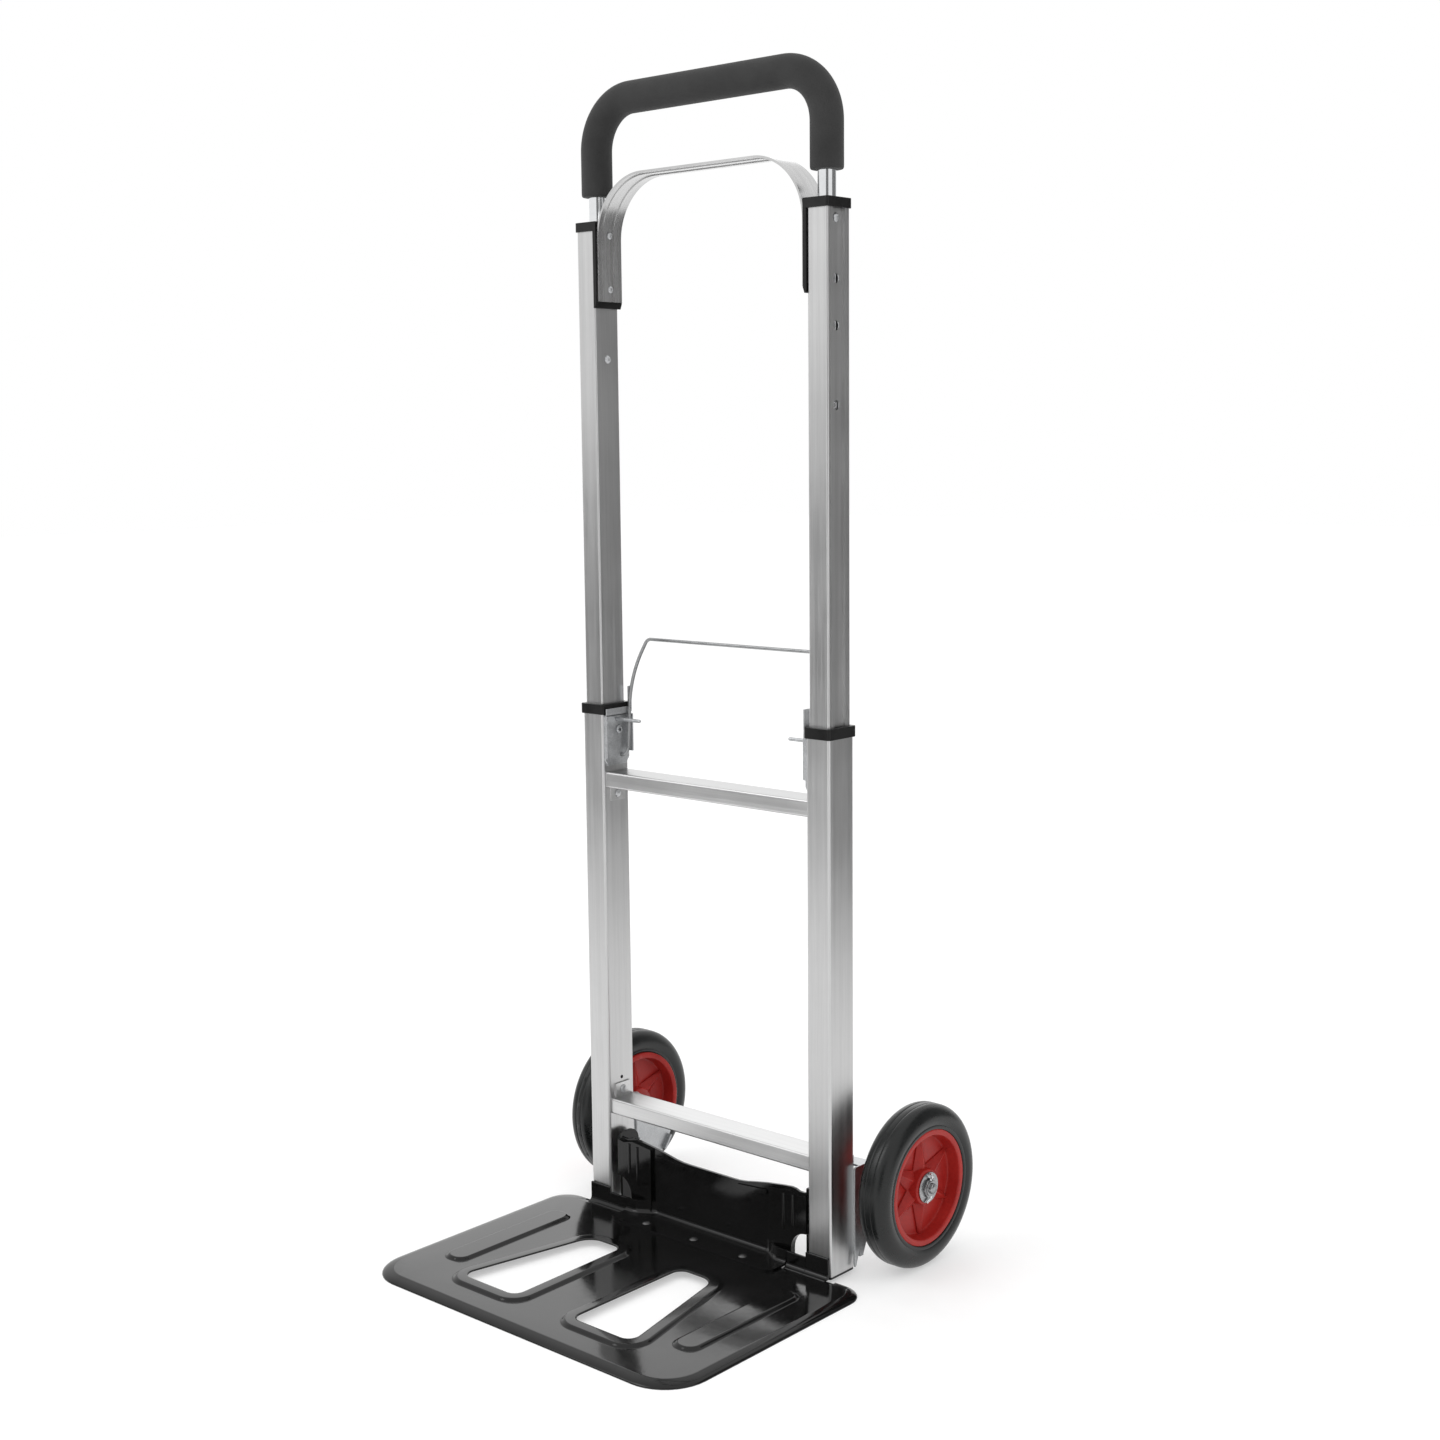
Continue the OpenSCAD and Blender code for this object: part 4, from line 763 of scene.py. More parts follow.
@dataclass
class LowerFrame:
    """Lower rails, crossbars, collars and the small parts on them."""

    rail_edge: float = 0.5
    bar_edge: float = 1.4
    collar_edge: float = 0.7
    lug_edge: float = 0.35
    plug_edge: float = 0.3
    inner: float = 127.1  # the rails' inner faces
    plate: float = 2.0  # a bail bracket's sheet against the rail
    front: float = 1.5  # the bracket, behind the rails' front plane
    back: float = 34.9
    low: float = 451.1
    top: float = 501.1
    cuts: Flat = (3.5, 4.5)  # cut off its lower corners, front and back
    cut_height: float = 6.0
    holes: tuple[Point, ...] = ((24.0, 460.0, 1.85), (17.7, 496.0, 1.85), (20.7, 485.5, 2.6))
    hole_sides: int = 20
    sheet: float = 1.5  # its lips, shelf and tab
    shelf: float = 4.3  # how far the shelf stands inwards of the rail
    rise: float = 6.0  # the shelf's edge, over the top
    proud: float = 0.05  # the shelf's floor, over the top
    play: float = 0.1  # between the shelf and the rail
    tabs: tuple[Flat, Flat] = ((32.2, 37.0), (1.6, 9.4))  # front and back, left and right
    tab_top: float = 527.0
    tab_foot: float = 0.6  # over the top
    tab_play: float = 0.04  # thinner than the shelf's edge, on each face
    lips: Flat = (8.0, 4.9)  # the deep lip's reach inwards, left and right
    lip_low: float = 463.0
    lip_top: float = 1.0  # under the top
    plain_lip_low: float = 7.0  # over the low end
    overlap: float = 0.2  # how far the lips run into the sheet
    edge: float = 0.4
    edge_angle: float = 50.0

    def build_bail_plate(self, side: int) -> bpy.types.Object:
        """Folds a bail bracket; the same stamping serves both rails, turned half round.

        Args:
            side: 1 for the right rail, -1 for the left.

        Returns:
            The bracket.
        """
        mould = Mould("right_bail_plate" if side > 0 else "left_bail_plate")
        face = self.inner - self.plate
        shoulder = self.low + self.cut_height
        outline = [(self.front, shoulder), (self.front + self.cuts[0], self.low),
                   (self.back - self.cuts[1], self.low), (self.back, shoulder),
                   (self.back, self.top), (self.front, self.top)]
        mould.trace(at_rail(side * face, y, z) for y, z in outline)
        turns = [FULL_TURN * step / self.hole_sides for step in range(self.hole_sides)]
        for y, z, radius in self.holes:
            mould.trace(at_rail(side * face, y + radius * math.cos(turn),
                                z + radius * math.sin(turn)) for turn in turns)
        bpy.ops.mesh.select_all(action="SELECT")
        bpy.ops.mesh.fill(use_beauty=True)
        mould.pull(mm(side * self.plate, 0, 0))
        mould.close()
        for (x0, x1), (y0, y1), (z0, z1) in self.folds(side):
            mould.block((side * x0, y0 + RAIL_FRONT, z0), (side * x1, y1 + RAIL_FRONT, z1))
        return ease(mould.done(), self.edge, self.edge_angle)

    def folds(self, side: int) -> list[tuple[Flat, Flat, Flat]]:
        """What is folded up from a bail bracket's sheet: shelf, tab and two lips.

        Args:
            side: 1 for the right rail, -1 for the left.

        Returns:
            Each box's reach in x (as on the right), y and z.
        """
        shelf, root = self.inner - self.shelf, self.inner - self.plate + self.overlap
        under, lip_top = self.top - self.sheet, self.top - self.lip_top
        whole = (self.front, self.back)
        deep, plain = (self.front, self.front + self.sheet), (self.back - self.sheet, self.back)
        if side < 0:
            deep, plain = plain, deep
        return [
            ((shelf, self.inner - self.play), whole, (under, self.top + self.proud)),
            ((shelf, shelf + self.sheet), whole, (under, self.top + self.rise)),
            ((shelf + self.tab_play, shelf + self.sheet - self.tab_play), self.tabs[side > 0],
             (self.top + self.tab_foot, self.tab_top)),
            ((self.inner - self.lips[side > 0], root), deep, (self.lip_low, lip_top)),
            ((shelf, root), plain, (self.low + self.plain_lip_low, lip_top))]

    def build(self, wardrobe: Wardrobe) -> None:
        """Builds the bail brackets and dresses the lower frame's nodes.

        Args:
            wardrobe: the finishes.
        """
        for side, name in ((1, "right"), (-1, "left")):
            plate = self.build_bail_plate(side)
            wardrobe.hand_over(plate, ZINC, Body.FRAME, f"{name}_bail_bracket")
        for side in ("left", "right"):
            wardrobe.dress_node(f"{side}_lower_rail", RAIL, self.rail_edge)
            wardrobe.dress_node(f"{side}_collar", PLASTIC, self.collar_edge)
            wardrobe.dress_node(f"{side}_pivot_lugs", ZINC, self.lug_edge)
        for bar in ("lower_crossbar", "middle_crossbar"):
            wardrobe.dress_node(bar, BAR, self.bar_edge)
        for node in ("crossbar_rivets", "bail_bracket_rivets", "pivot_lug_rivets",
                     "wheel_pivot_pins", "wheel_fold_springs", "toe_plate_hinge_pins"):
            wardrobe.dress_node(node, ZINC)
        wardrobe.dress_node("rail_foot_plugs", PLASTIC, self.plug_edge)


@dataclass
class ToePlateUnit:
    """Pressed toe plate with its rolled edge, raised hole rims, ribs and stop flanges."""

    half_width: float = 195.0
    front: float = -260.4
    back: float = 2.5
    top: float = 5.0
    sheet: float = 2.0
    notch_y: float = -0.5
    notch_out: float = 156.5
    front_radius: float = 43.0
    rear_radius: float = 25.0
    hole: tuple[Flat, ...] = ((36, -215), (112, -215), (75.5, -77), (38, -77))
    hole_radii: tuple[float, ...] = (10, 10, 17, 10)
    rim_width: float = 15.0
    edge_profile: tuple[Flat, ...] = (
        (0.01, 0.7), (0.35, 0.6), (0.7, 0.6), (1.0, 0.6), (1.4, 0.65), (1.8, 0.6), (2.1, 0.5),
        (2.1, 0.4), (1.5, 0.35))
    step_profile: tuple[Flat, ...] = (
        (0.9, 0.12), (0.9, 0.5), (0.9, 0.75), (0.9, 0.75), (0.9, 0.5), (0.9, 0.13))
    lip_profile: tuple[Flat, ...] = (
        (4.0, 0.15), (4.0, 0.1), (1.0, -0.1), (0.4, -0.4), (0.2, -0.8))
    rib_half: float = 15.5
    rib_x: float = 146.0
    rib_ends: Flat = (-197.4, -45.0)
    rib_flat: float = 1.0  # straight stretch in a rib's round ends
    field_weight: int = 80  # how far the plate's large faces lead its shading
    flanges: tuple[Point, ...] = (  # inner x, outer x and top of each of its steps
        (103.4, 126.2, 19.0), (126.1, 152.5, 24.0))
    fillet: float = 4.5  # at a wall's foot
    fillet_steps: int = 8
    toe: float = 1.0  # flat stretch in front of a fillet
    root: float = 1.5  # how deep a wall's foot goes into the floor
    sunk: float = 0.05  # how far a flange's fillet starts under the plate's top
    floor_half: float = 103.1
    floor_ends: Flat = (-28.0, 10.5)
    floor_radii: tuple[float, ...] = (9.0, 9.0, 1.0, 1.0)
    floor_foot: float = 4.9
    floor_sheet: float = 2.1
    floor_top: float = 6.95  # where the bracket's fillets start
    wall_front: float = 8.0
    wall_sheet: float = 2.5
    wall_foot: float = 5.2
    wall_rise: tuple[Flat, ...] = (
        (121.1, 76.5), (117.0, 75.2), (111.0, 75.0), (106.0, 76.8), (101.0, 77.4), (92.0, 76.6),
        (84.0, 75.6), (70.0, 73.6), (58.0, 71.4), (46.0, 69.0), (36.0, 67.8), (28.0, 67.6))
    gap_radius: float = 18.0  # hollow corner over the gap beside a rail
    gap_top: float = 19.0  # where the hollow corner starts
    gap_steps: int = 9
    relief_y: float = 8.2  # back of all that is pressed out of the wall
    panel: tuple[Flat, ...] = (
        (121.1, 73.5), (113.0, 72.0), (101.0, 75.0), (84.0, 73.0), (76.1, 72.0))
    panel_foot: float = 6.0
    panel_deep: float = 3.7
    ledge: tuple[Flat, ...] = ((34.0, 59.5), (72.0, 62.5), (72.0, 67.5), (34.0, 64.5))
    ledge_radius: float = 2.0
    ledge_steps: int = 4
    ledge_deep: float = 1.7
    beads: tuple[Point, ...] = ((94.0, 36.0, 71.0), (105.0, 42.0, 72.0))  # x, foot, top
    bead_radius: float = 1.7
    bead_sides: int = 20
    bead_y: float = 4.9
    ears: tuple[tuple[float, float, float, tuple[float, ...]], ...] = (  # x, foot, top, radii
        (121.1, 8.0, 80.0, (1.0, 8.0, 12.0, 1.0)), (78.6, 37.0, 62.0, (1.0, 8.0, 8.0, 1.0)))
    ear_ends: Flat = (8.2, 32.4)
    ear_sheet: float = 2.5
    kerb_half: float = 70.0  # low fillet between the wings
    kerb_height: float = 7.0
    kerb_sheet: float = 0.5
    wing: tuple[Flat, Flat] = ((68.0, 8.4), (94.0, -3.0))  # x and y of its ends
    wing_top: float = 19.0
    wing_sheet: float = 2.4
    wing_steps: int = 10
    wing_play: float = 0.1  # between the wing's end and the gap
    press_edge: float = 0.7
    press_angle: float = 40.0

    def outline(self) -> list[Flat]:
        """Outer edge, counter-clockwise from the front left.

        Returns:
            The outline's points (x, y).
        """
        w, out = self.half_width, self.notch_out
        corners = [(-w, self.front), (w, self.front), (w, self.back), (out, self.back),
                   (out, self.notch_y), (-out, self.notch_y), (-out, self.back), (-w, self.back)]
        radii = [self.front_radius, self.front_radius, self.rear_radius, 0, 0, 0, 0,
                 self.rear_radius]
        return rounded(corners, radii)

    def hole_outline(self, side: int) -> list[Flat]:
        """Foot line of a hole's raised rim.

        Args:
            side: 1 on the right, -1 on the left.

        Returns:
            The outline's points (x, y).
        """
        grown = []
        for (x, y), (out, back) in zip(self.hole, ((-1, -1), (1, -1), (1, 1), (-1, 1))):
            grown.append((side * (x + out * self.rim_width), y + back * self.rim_width))
        radii = [r + self.rim_width for r in self.hole_radii]
        if side < 0:
            grown.reverse()
            radii.reverse()
        return rounded(grown, radii)

    def rib_outline(self, side: int) -> list[Flat]:
        """Foot line of the long rib beside a hole.

        Args:
            side: 1 on the right, -1 on the left.

        Returns:
            The outline's points (x, y).
        """
        low, high = self.rib_x - self.rib_half, self.rib_x + self.rib_half
        front, back = self.rib_ends
        corners = [(low, front), (high, front), (high, back), (low, back)]
        if side < 0:
            corners = [(-x, y) for x, y in reversed(corners)]
        return rounded(corners, [self.rib_half - self.rib_flat] * 4)

    def build_plate(self) -> bpy.types.Object:
        """Presses the plate: edges, rims and ribs by insets, then the field between them.

        Returns:
            The plate.
        """
        mould = Mould("toe_plate_pressing")
        mould.trace((at_rail(x, y, 0) for x, y in self.outline()), UP)
        mould.steps(self.edge_profile)
        bpy.ops.mesh.delete(type="ONLY_FACE")
        for side in (1, -1):
            mould.trace((at_rail(x, y, self.top) for x, y in self.hole_outline(side)), UP)
            mould.steps(self.step_profile + self.lip_profile)
            bpy.ops.mesh.delete(type="ONLY_FACE")
            mould.trace((at_rail(x, y, self.top) for x, y in self.rib_outline(side)), UP)
            mould.steps(self.step_profile)
        LOG.info("field between %d edges", mould.pick_rims(self.top))
        bpy.ops.mesh.fill(use_beauty=True)
        bpy.ops.mesh.select_all(action="SELECT")
        bpy.ops.mesh.normals_make_consistent(inside=False)
        piece = mould.done(SMOOTH_SWEPT)
        add_modifier(piece, "SOLIDIFY", thickness=self.sheet * MM, offset=-1.0,
                     use_even_offset=True)
        bpy.ops.object.mode_set(mode="EDIT")
        mould.settle()
        bpy.ops.object.mode_set(mode="OBJECT")
        add_modifier(piece, "WEIGHTED_NORMAL", keep_sharp=True, weight=self.field_weight)
        return piece

    def build_flange(self, side: int) -> bpy.types.Object:
        """Bends up the stop flange in front of a rail, with a fillet at its foot.

        Args:
            side: 1 on the right, -1 on the left.

        Returns:
            The flange.
        """
        mould = Mould("right_stop_flange" if side > 0 else "left_stop_flange")
        front = self.notch_y - self.wall_sheet
        for start, end, height in self.flanges:
            profile = self.foot_profile(height, self.wall_sheet, self.top - self.sunk)
            mould.slab((at_rail(side * start, front + y, z) for y, z in profile),
                       mm(side * (end - start), 0, 0))
        mould.close()
        return ease(mould.done(SMOOTH_PRESSED), self.press_edge, self.press_angle)

    def foot_profile(self, top: float, deep: float, foot: float) -> list[Flat]:
        """Section (back, height) of an upright wall with a fillet at its front foot.

        Args:
            top: height of its top edge.
            deep: thickness of the wall.
            foot: height of the floor in front.

        Returns:
            The section's points, its front face at 0.
        """
        points = [(deep, foot - self.root), (deep, top), (0.0, top)]
        for step in range(self.fillet_steps + 1):
            turn = QUARTER_TURN * step / self.fillet_steps
            points.append((self.fillet * (math.cos(turn) - 1),
                           foot + self.fillet * (1 - math.sin(turn))))
        return points + [(-self.fillet - self.toe, foot - self.root)]

    def build_bracket(self) -> bpy.types.Object:
        """Presses the hinge bracket: floor, shaped wall, end panels with beads, and ears.

        Returns:
            The bracket.
        """
        mould = Mould("hinge_bracket_pressing")
        half = [(self.floor_half, self.wall_foot)] + self.corner() + list(self.wall_rise)
        wall = half + [(-x, z) for x, z in reversed(half)]
        mould.slab((at_rail(x, self.wall_front, z) for x, z in wall), mm(0, self.wall_sheet, 0))
        front, back = self.floor_ends
        floor = rounded([(-self.floor_half, front), (self.floor_half, front),
                         (self.floor_half, back), (-self.floor_half, back)],
                        list(self.floor_radii))
        mould.slab((at_rail(x, y, self.floor_foot) for x, y in floor),
                   mm(0, 0, self.floor_sheet))
        for side in (1, -1):
            self.press_panel(mould, side)
            for x, foot, top, radii in self.ears:
                near, far = self.ear_ends
                ear = rounded([(near, foot), (far, foot), (far, top), (near, top)], list(radii))
                mould.slab((at_rail(side * x, y, z) for y, z in ear),
                           mm(-side * self.ear_sheet, 0, 0))
            self.bend_wing(mould, side)
        kerb = self.foot_profile(self.kerb_height + self.fillet, self.kerb_sheet, self.floor_top)
        mould.slab((at_rail(-self.kerb_half, self.wall_front + y, z) for y, z in kerb),
                   mm(2 * self.kerb_half, 0, 0))
        mould.close()
        return ease(mould.done(SMOOTH_PRESSED), self.press_edge, self.press_angle)

    def press_panel(self, mould: Mould, side: int) -> None:
        """Presses a raised end panel, the ledge beside it and its two upright beads.

        Args:
            mould: the bracket's mould.
            side: 1 on the right, -1 on the left.
        """
        start = self.panel[-1][0]
        panel = [(start, self.panel_foot), (self.floor_half, self.panel_foot)]
        panel += self.corner() + list(self.panel)
        ledge = rounded(list(self.ledge), [self.ledge_radius] * 4, self.ledge_steps)
        for outline, deep in ((panel, self.panel_deep), (ledge, self.ledge_deep)):
            mould.slab((at_rail(side * x, self.relief_y, z) for x, z in outline),
                       mm(0, -deep, 0))
        for x, foot, top in self.beads:
            mould.rod(at_rail(side * x, self.bead_y, (foot + top) / 2), top - foot,
                      self.bead_radius, self.bead_sides)

    def corner(self) -> list[Flat]:
        """Hollow corner of the wall over the gap beside each rail, from the floor up."""
        turns = [QUARTER_TURN * step / self.gap_steps for step in range(self.gap_steps + 1)]
        return [(self.floor_half + self.gap_radius * (1 - math.cos(turn)),
                 self.gap_top + self.gap_radius * math.sin(turn)) for turn in turns]

    def bend_wing(self, mould: Mould, side: int) -> None:
        """Draws the wall's foot forward to the stop flange in a soft S.

        Args:
            mould: the bracket's mould.
            side: 1 on the right, -1 on the left.
        """
        (start, back), (end, front) = self.wing
        path = [(start, back)]
        for step in range(1, self.wing_steps + 1):
            share = step / self.wing_steps
            path.append((start + (end - start) * share,
                         back - (back - front) * (1 - math.cos(math.pi * share)) / 2))
        path.append((self.floor_half - self.wing_play, front))
        section = self.foot_profile(self.wing_top, self.wing_sheet, self.floor_top)
        mould.trace((at_rail(side * start, back + y, z) for y, z in section), (side, 0, 0))
        for (x0, y0), (x1, y1) in zip(path, path[1:]):
            mould.pull(mm(side * (x1 - x0), y1 - y0, 0))

    def build(self, wardrobe: Wardrobe) -> None:
        """Builds and dresses the unit.

        Args:
            wardrobe: the finishes.
        """
        wardrobe.hand_over(self.build_plate(), ENAMEL, Body.PLATE, "toe_plate")
        for side in (1, -1):
            wardrobe.hand_over(self.build_flange(side), ENAMEL, Body.PLATE)
        wardrobe.hand_over(self.build_bracket(), ENAMEL, Body.PLATE, "hinge_bracket")
        wardrobe.dress_node("toe_plate_rivets", RIVET)
        wardrobe.dress_node("hinge_bushes", PLASTIC)


@dataclass
class Wheels:
    """Wheels, their folded brackets, axles and fasteners."""

    axle_y: float = RAIL_FRONT + 89.4
    axle_z: float = 76.7
    inner: float = 167.0
    outer: float = 201.3
    rim_radius: float = 54.6
    ring_width: float = 6.0
    hub_radius: float = 17.0
    hub_in: float = 160.2
    hub_out: float = 197.7
    bore: float = 7.5
    web: float = 2.5
    turns: int = 96
    # the rim's section: steps from the corner that each is named for, along x and outwards
    bore_edge: tuple[Flat, ...] = ((-0.8, 0.0), (0.0, 0.8))
    hub_edge: tuple[Flat, ...] = ((0.0, -2.0), (-0.5, -0.8), (-1.6, 0.0))
    hub_foot: tuple[Flat, ...] = ((1.5, 0.8), (0.4, 1.6), (0.0, 3.0))
    ring_foot: tuple[Flat, ...] = ((0.0, -3.4), (0.6, -2.0), (2.0, -1.2))
    ring_lip: tuple[Flat, ...] = ((-3.4, 0.0), (-2.2, 0.5), (-1.6, 1.5))
    ring_edge: tuple[Flat, ...] = ((-1.5, -1.2), (-2.0, -0.2), (-2.8, 0.0))
    hub_zone: float = 0.5  # over the hub's radius; within it the inner face ends at hub_in
    rim_edge: float = 0.5
    rim_angle: float = 32.0
    rim_flats: int = 2
    spokes: int = 6
    spoke_half: float = 10.0
    spoke_tip: float = 1.0
    spoke_feet: Flat = (-2.0, 0.6)  # spoke's ends, past the hub's and ring's faces
    spoke_sunk: float = 0.6
    spoke_rise: float = 1.2
    ridge_drop: Flat = (4.0, 5.0)  # ridge under the hub's end, on the outer and inner face
    ridge_inset: float = 0.35
    ridge_hub: float = 6.0  # how far from the spoke's start its high corners lie
    ridge_widths: Flat = (0.06, 0.3)  # shares of the spoke's width, at the hub and the ring
    ridge_end: float = 2.2
    tyre_radius: float = 76.7
    tyre_inner: float = 170.0
    tyre_turns: int = 128
    tyre_play: float = 0.1
    shoulder: float = 63.5
    shoulder_steps: int = 12
    crown: float = 4.6
    tyre_bead: tuple[Flat, ...] = (  # steps from the tyre's side and bore
        (-1.6, 0.0), (-1.0, 0.8), (-0.9, 2.6), (-1.3, 3.6), (-0.6, 5.4), (-0.15, 7.4))
    groove: tuple[Flat, ...] = ((3.6, 0.0), (3.0, -0.5), (2.4, 0.0))  # from the tyre's middle
    sheet_x: float = 158.0
    skirt: tuple[Flat, ...] = (
        (30.6, 7.0), (32.6, 7.0), (44.0, 37.0), (44.0, 70.0), (38.6, 102.6), (30.6, 102.6))
    skirt_radii: tuple[float, ...] = (0.8, 1.0, 6.0, 6.0, 0.8, 3.0)
    skirt_in: float = 1.95
    skirt_sheet: float = 2.0
    skirt_edge: float = 0.5
    skirt_angle: float = 50.0
    skirt_steps: int = 5
    inner_washer: Flat = (0.3, 8.0)  # play before the hub, radius
    outer_washer: Point = (0.2, 1.5, 14.5)  # start and end past the hub, radius
    nut: Point = (1.55, 3.8, 9.4)
    castle: Point = (1.55, 5.2, 7.4)
    metal_edge: float = 0.45
    metal_angle: float = 40.0
    washer_sides: int = 64
    round_sides: int = 48
    nut_sides: int = 6
    bracket_edge: float = 0.4

    @property
    def middle(self) -> float:
        """Middle plane of the right wheel."""
        return (self.inner + self.outer) / 2

    def place(self, x: float, radius: float, turn: float = 0.0) -> Vector:
        """Point at a radius from the axle, in metres; turn 0 is straight up."""
        return mm(x, self.axle_y + radius * math.sin(turn), self.axle_z + radius * math.cos(turn))

    def lathe(self, name: str, section: list[Flat], count: int) -> Mould:
        """Turns a section round the axle.

        Args:
            name: the piece's name.
            section: its section as (x, radius).
            count: steps in the whole turn.

        Returns:
            The mould, closed.
        """
        mould = Mould(name)
        mould.trace(self.place(x, radius) for x, radius in section)
        mould.spin(self.place(self.middle, 0), AXLE, FULL_TURN, count)
        mould.close()
        return mould

    def rim_section(self) -> list[Flat]:
        """Section of the rim through the axle as (x, radius), from the bore round.

        Returns:
            The section's points.
        """
        web, ring_in = self.middle + self.web, self.rim_radius - self.ring_width
        corners = (((self.hub_out, self.bore), self.bore_edge),
                   ((self.hub_out, self.hub_radius), self.hub_edge),
                   ((web, self.hub_radius), self.hub_foot), ((web, ring_in), self.ring_foot),
                   ((self.outer, ring_in), self.ring_lip),
                   ((self.outer, self.rim_radius), self.ring_edge))
        half = [(x + along, radius + out) for (x, radius), steps in corners for along, out in steps]
        other: list[Flat] = []
        for x, radius in reversed(half):
            back = 2 * self.middle - x
            at_hub = radius < self.hub_radius + self.hub_zone
            other.append((max(back, self.hub_in) if at_hub else back, radius))
        return half + other

    def tyre_section(self) -> list[Flat]:
        """Section of the tyre through the axle as (x, radius), with full round shoulders.

        Returns:
            The section's points.
        """
        half_width = (self.outer - self.tyre_inner) / 2
        middle = self.outer - half_width
        bore = self.rim_radius + self.tyre_play
        half = [(half_width + along, bore + out) for along, out in self.tyre_bead]
        for step in range(self.shoulder_steps + 1):
            turn = QUARTER_TURN * step / self.shoulder_steps
            half.append((self.crown + (half_width - self.crown) * math.cos(turn),
                         self.shoulder + (self.tyre_radius - self.shoulder) * math.sin(turn)))
        half += [(along, self.tyre_radius + out) for along, out in self.groove]
        return [(middle + x, radius) for x, radius in half] + [
            (middle - x, radius) for x, radius in reversed(half)]

    def build_tyre(self) -> bpy.types.Object:
        """Turns the solid tyre.

        Returns:
            The right tyre.
        """
        mould = self.lathe("right_tyre_casting", self.tyre_section(), self.tyre_turns)
        piece = mould.done(SMOOTH_PRESSED)
        add_modifier(piece, "WEIGHTED_NORMAL", keep_sharp=True, weight=NORMAL_WEIGHT)
        return piece

    def build_rim(self) -> bpy.types.Object:
        """Turns the rim and sets its six ridged spokes on both faces.

        Returns:
            The right rim.
        """
        mould = self.lathe("right_rim_casting", self.rim_section(), self.turns)
        start = self.hub_radius + self.spoke_feet[0]
        end = self.rim_radius - self.ring_width + self.spoke_feet[1]
        for way, drop in zip((1, -1), self.ridge_drop):
            foot = self.middle + way * (self.web - self.spoke_sunk)
            tip_x = self.middle + way * (self.web + self.spoke_rise)
            high = self.middle + way * (self.hub_out - self.middle - drop)
            mould.slab([self.place(foot, start) + mm(0, -self.spoke_half, 0),
                        self.place(foot, end) + mm(0, -self.spoke_tip, 0),
                        self.place(foot, end) + mm(0, self.spoke_tip, 0),
                        self.place(foot, start) + mm(0, self.spoke_half, 0)],
                       mm(tip_x - foot, 0, 0))
            self.raise_ridge(mould, high, tip_x, start + self.ridge_hub)
            bpy.ops.mesh.select_linked()
            mould.copies_round(self.place(self.middle, 0), AXLE, self.spokes)
        bpy.ops.mesh.select_all(action="SELECT")
        bpy.ops.mesh.normals_make_consistent(inside=False)
        return ease(mould.done(), self.rim_edge, self.rim_angle, self.rim_flats)

    def raise_ridge(self, mould: Mould, high: float, tip_x: float, reach: float) -> None:
        """Raises the picked spoke's top to a ridge that is high at the hub.

        Args:
            mould: the rim's mould with the spoke's top face picked.
            high: x of the ridge at the hub.
            tip_x: x of the spoke's top at the ring.
            reach: radius up to which a corner belongs to the hub's end.
        """
        bpy.ops.mesh.inset(thickness=self.ridge_inset * MM, depth=0)
        mesh = bmesh.from_edit_mesh(mould.piece.data)
        axle = self.axle_y * MM
        for corner in (v for v in mesh.verts if v.select):
            near_hub = corner.co.z / MM - self.axle_z < reach
            width = self.ridge_widths[0 if near_hub else 1]
            corner.co.y = axle + (corner.co.y - axle) * width
            end_x = tip_x + math.copysign(self.ridge_end, high - tip_x)
            corner.co.x = (high if near_hub else end_x) * MM
        bmesh.update_edit_mesh(mould.piece.data)

    def build_skirt(self) -> bpy.types.Object:
        """Cuts the front part of the wheel bracket's side plate, beside the rail.

        Returns:
            The right bracket's front part.
        """
        mould = Mould("right_bracket_skirt")
        outline = rounded(list(self.skirt), list(self.skirt_radii), self.skirt_steps)
        mould.slab((at_rail(self.sheet_x - self.skirt_in, y, z) for y, z in outline),
                   mm(self.skirt_sheet, 0, 0))
        mould.close()
        return ease(mould.done(), self.skirt_edge, self.skirt_angle)

    def build_collars(self, name: str, rods: Iterable[tuple[float, float, float, int]]
                      ) -> bpy.types.Object:
        """Turns round or six-sided collars on the axle.

        Args:
            name: the piece's name.
            rods: start x, end x, radius and number of sides of each.

        Returns:
            The piece.
        """
        mould = Mould(name)
        for start, end, radius, sides in rods:
            mould.rod(self.place((start + end) / 2, 0), end - start, radius, sides, AXLE)
        mould.close()
        return ease(mould.done(), self.metal_edge, self.metal_angle)

    def build_washers(self) -> bpy.types.Object:
        """Turns the washers before and behind the hub.

        Returns:
            The right wheel's washers.
        """
        play, inner_radius = self.inner_washer
        start, end, radius = self.outer_washer
        return self.build_collars("right_washer_pair", (
            (self.sheet_x, self.hub_in - play, inner_radius, self.round_sides),
            (self.hub_out + start, self.hub_out + end, radius, self.washer_sides)))

    def build_nut(self) -> bpy.types.Object:
        """Turns the six-sided nut and its round castle.

        Returns:
            The right wheel's nut.
        """
        return self.build_collars("right_hub_nut", (
            (self.hub_out + start, self.hub_out + end, radius, sides)
            for (start, end, radius), sides in ((self.nut, self.nut_sides),
                                                (self.castle, self.round_sides))))

    def fit_pair(self, wardrobe: Wardrobe, piece: bpy.types.Object, finish: Finish, spins: bool,
                 node: str = "") -> None:
        """Copies a right-hand piece to the left and hands both over.

        Args:
            wardrobe: the finishes.
            piece: the piece on the right.
            finish: its finish.
            spins: whether it turns with the wheel.
            node: the CAD node it stands for, without its side.
        """
        twin = mirrored(piece, piece.name.replace("right", "left"))
        for made, side in ((piece, "right"), (twin, "left")):
            body = Body(f"{side}_wheel" if spins else f"{side}_wheel_carrier")
            wardrobe.hand_over(made, finish, body, *([f"{side}_{node}"] if node else []))

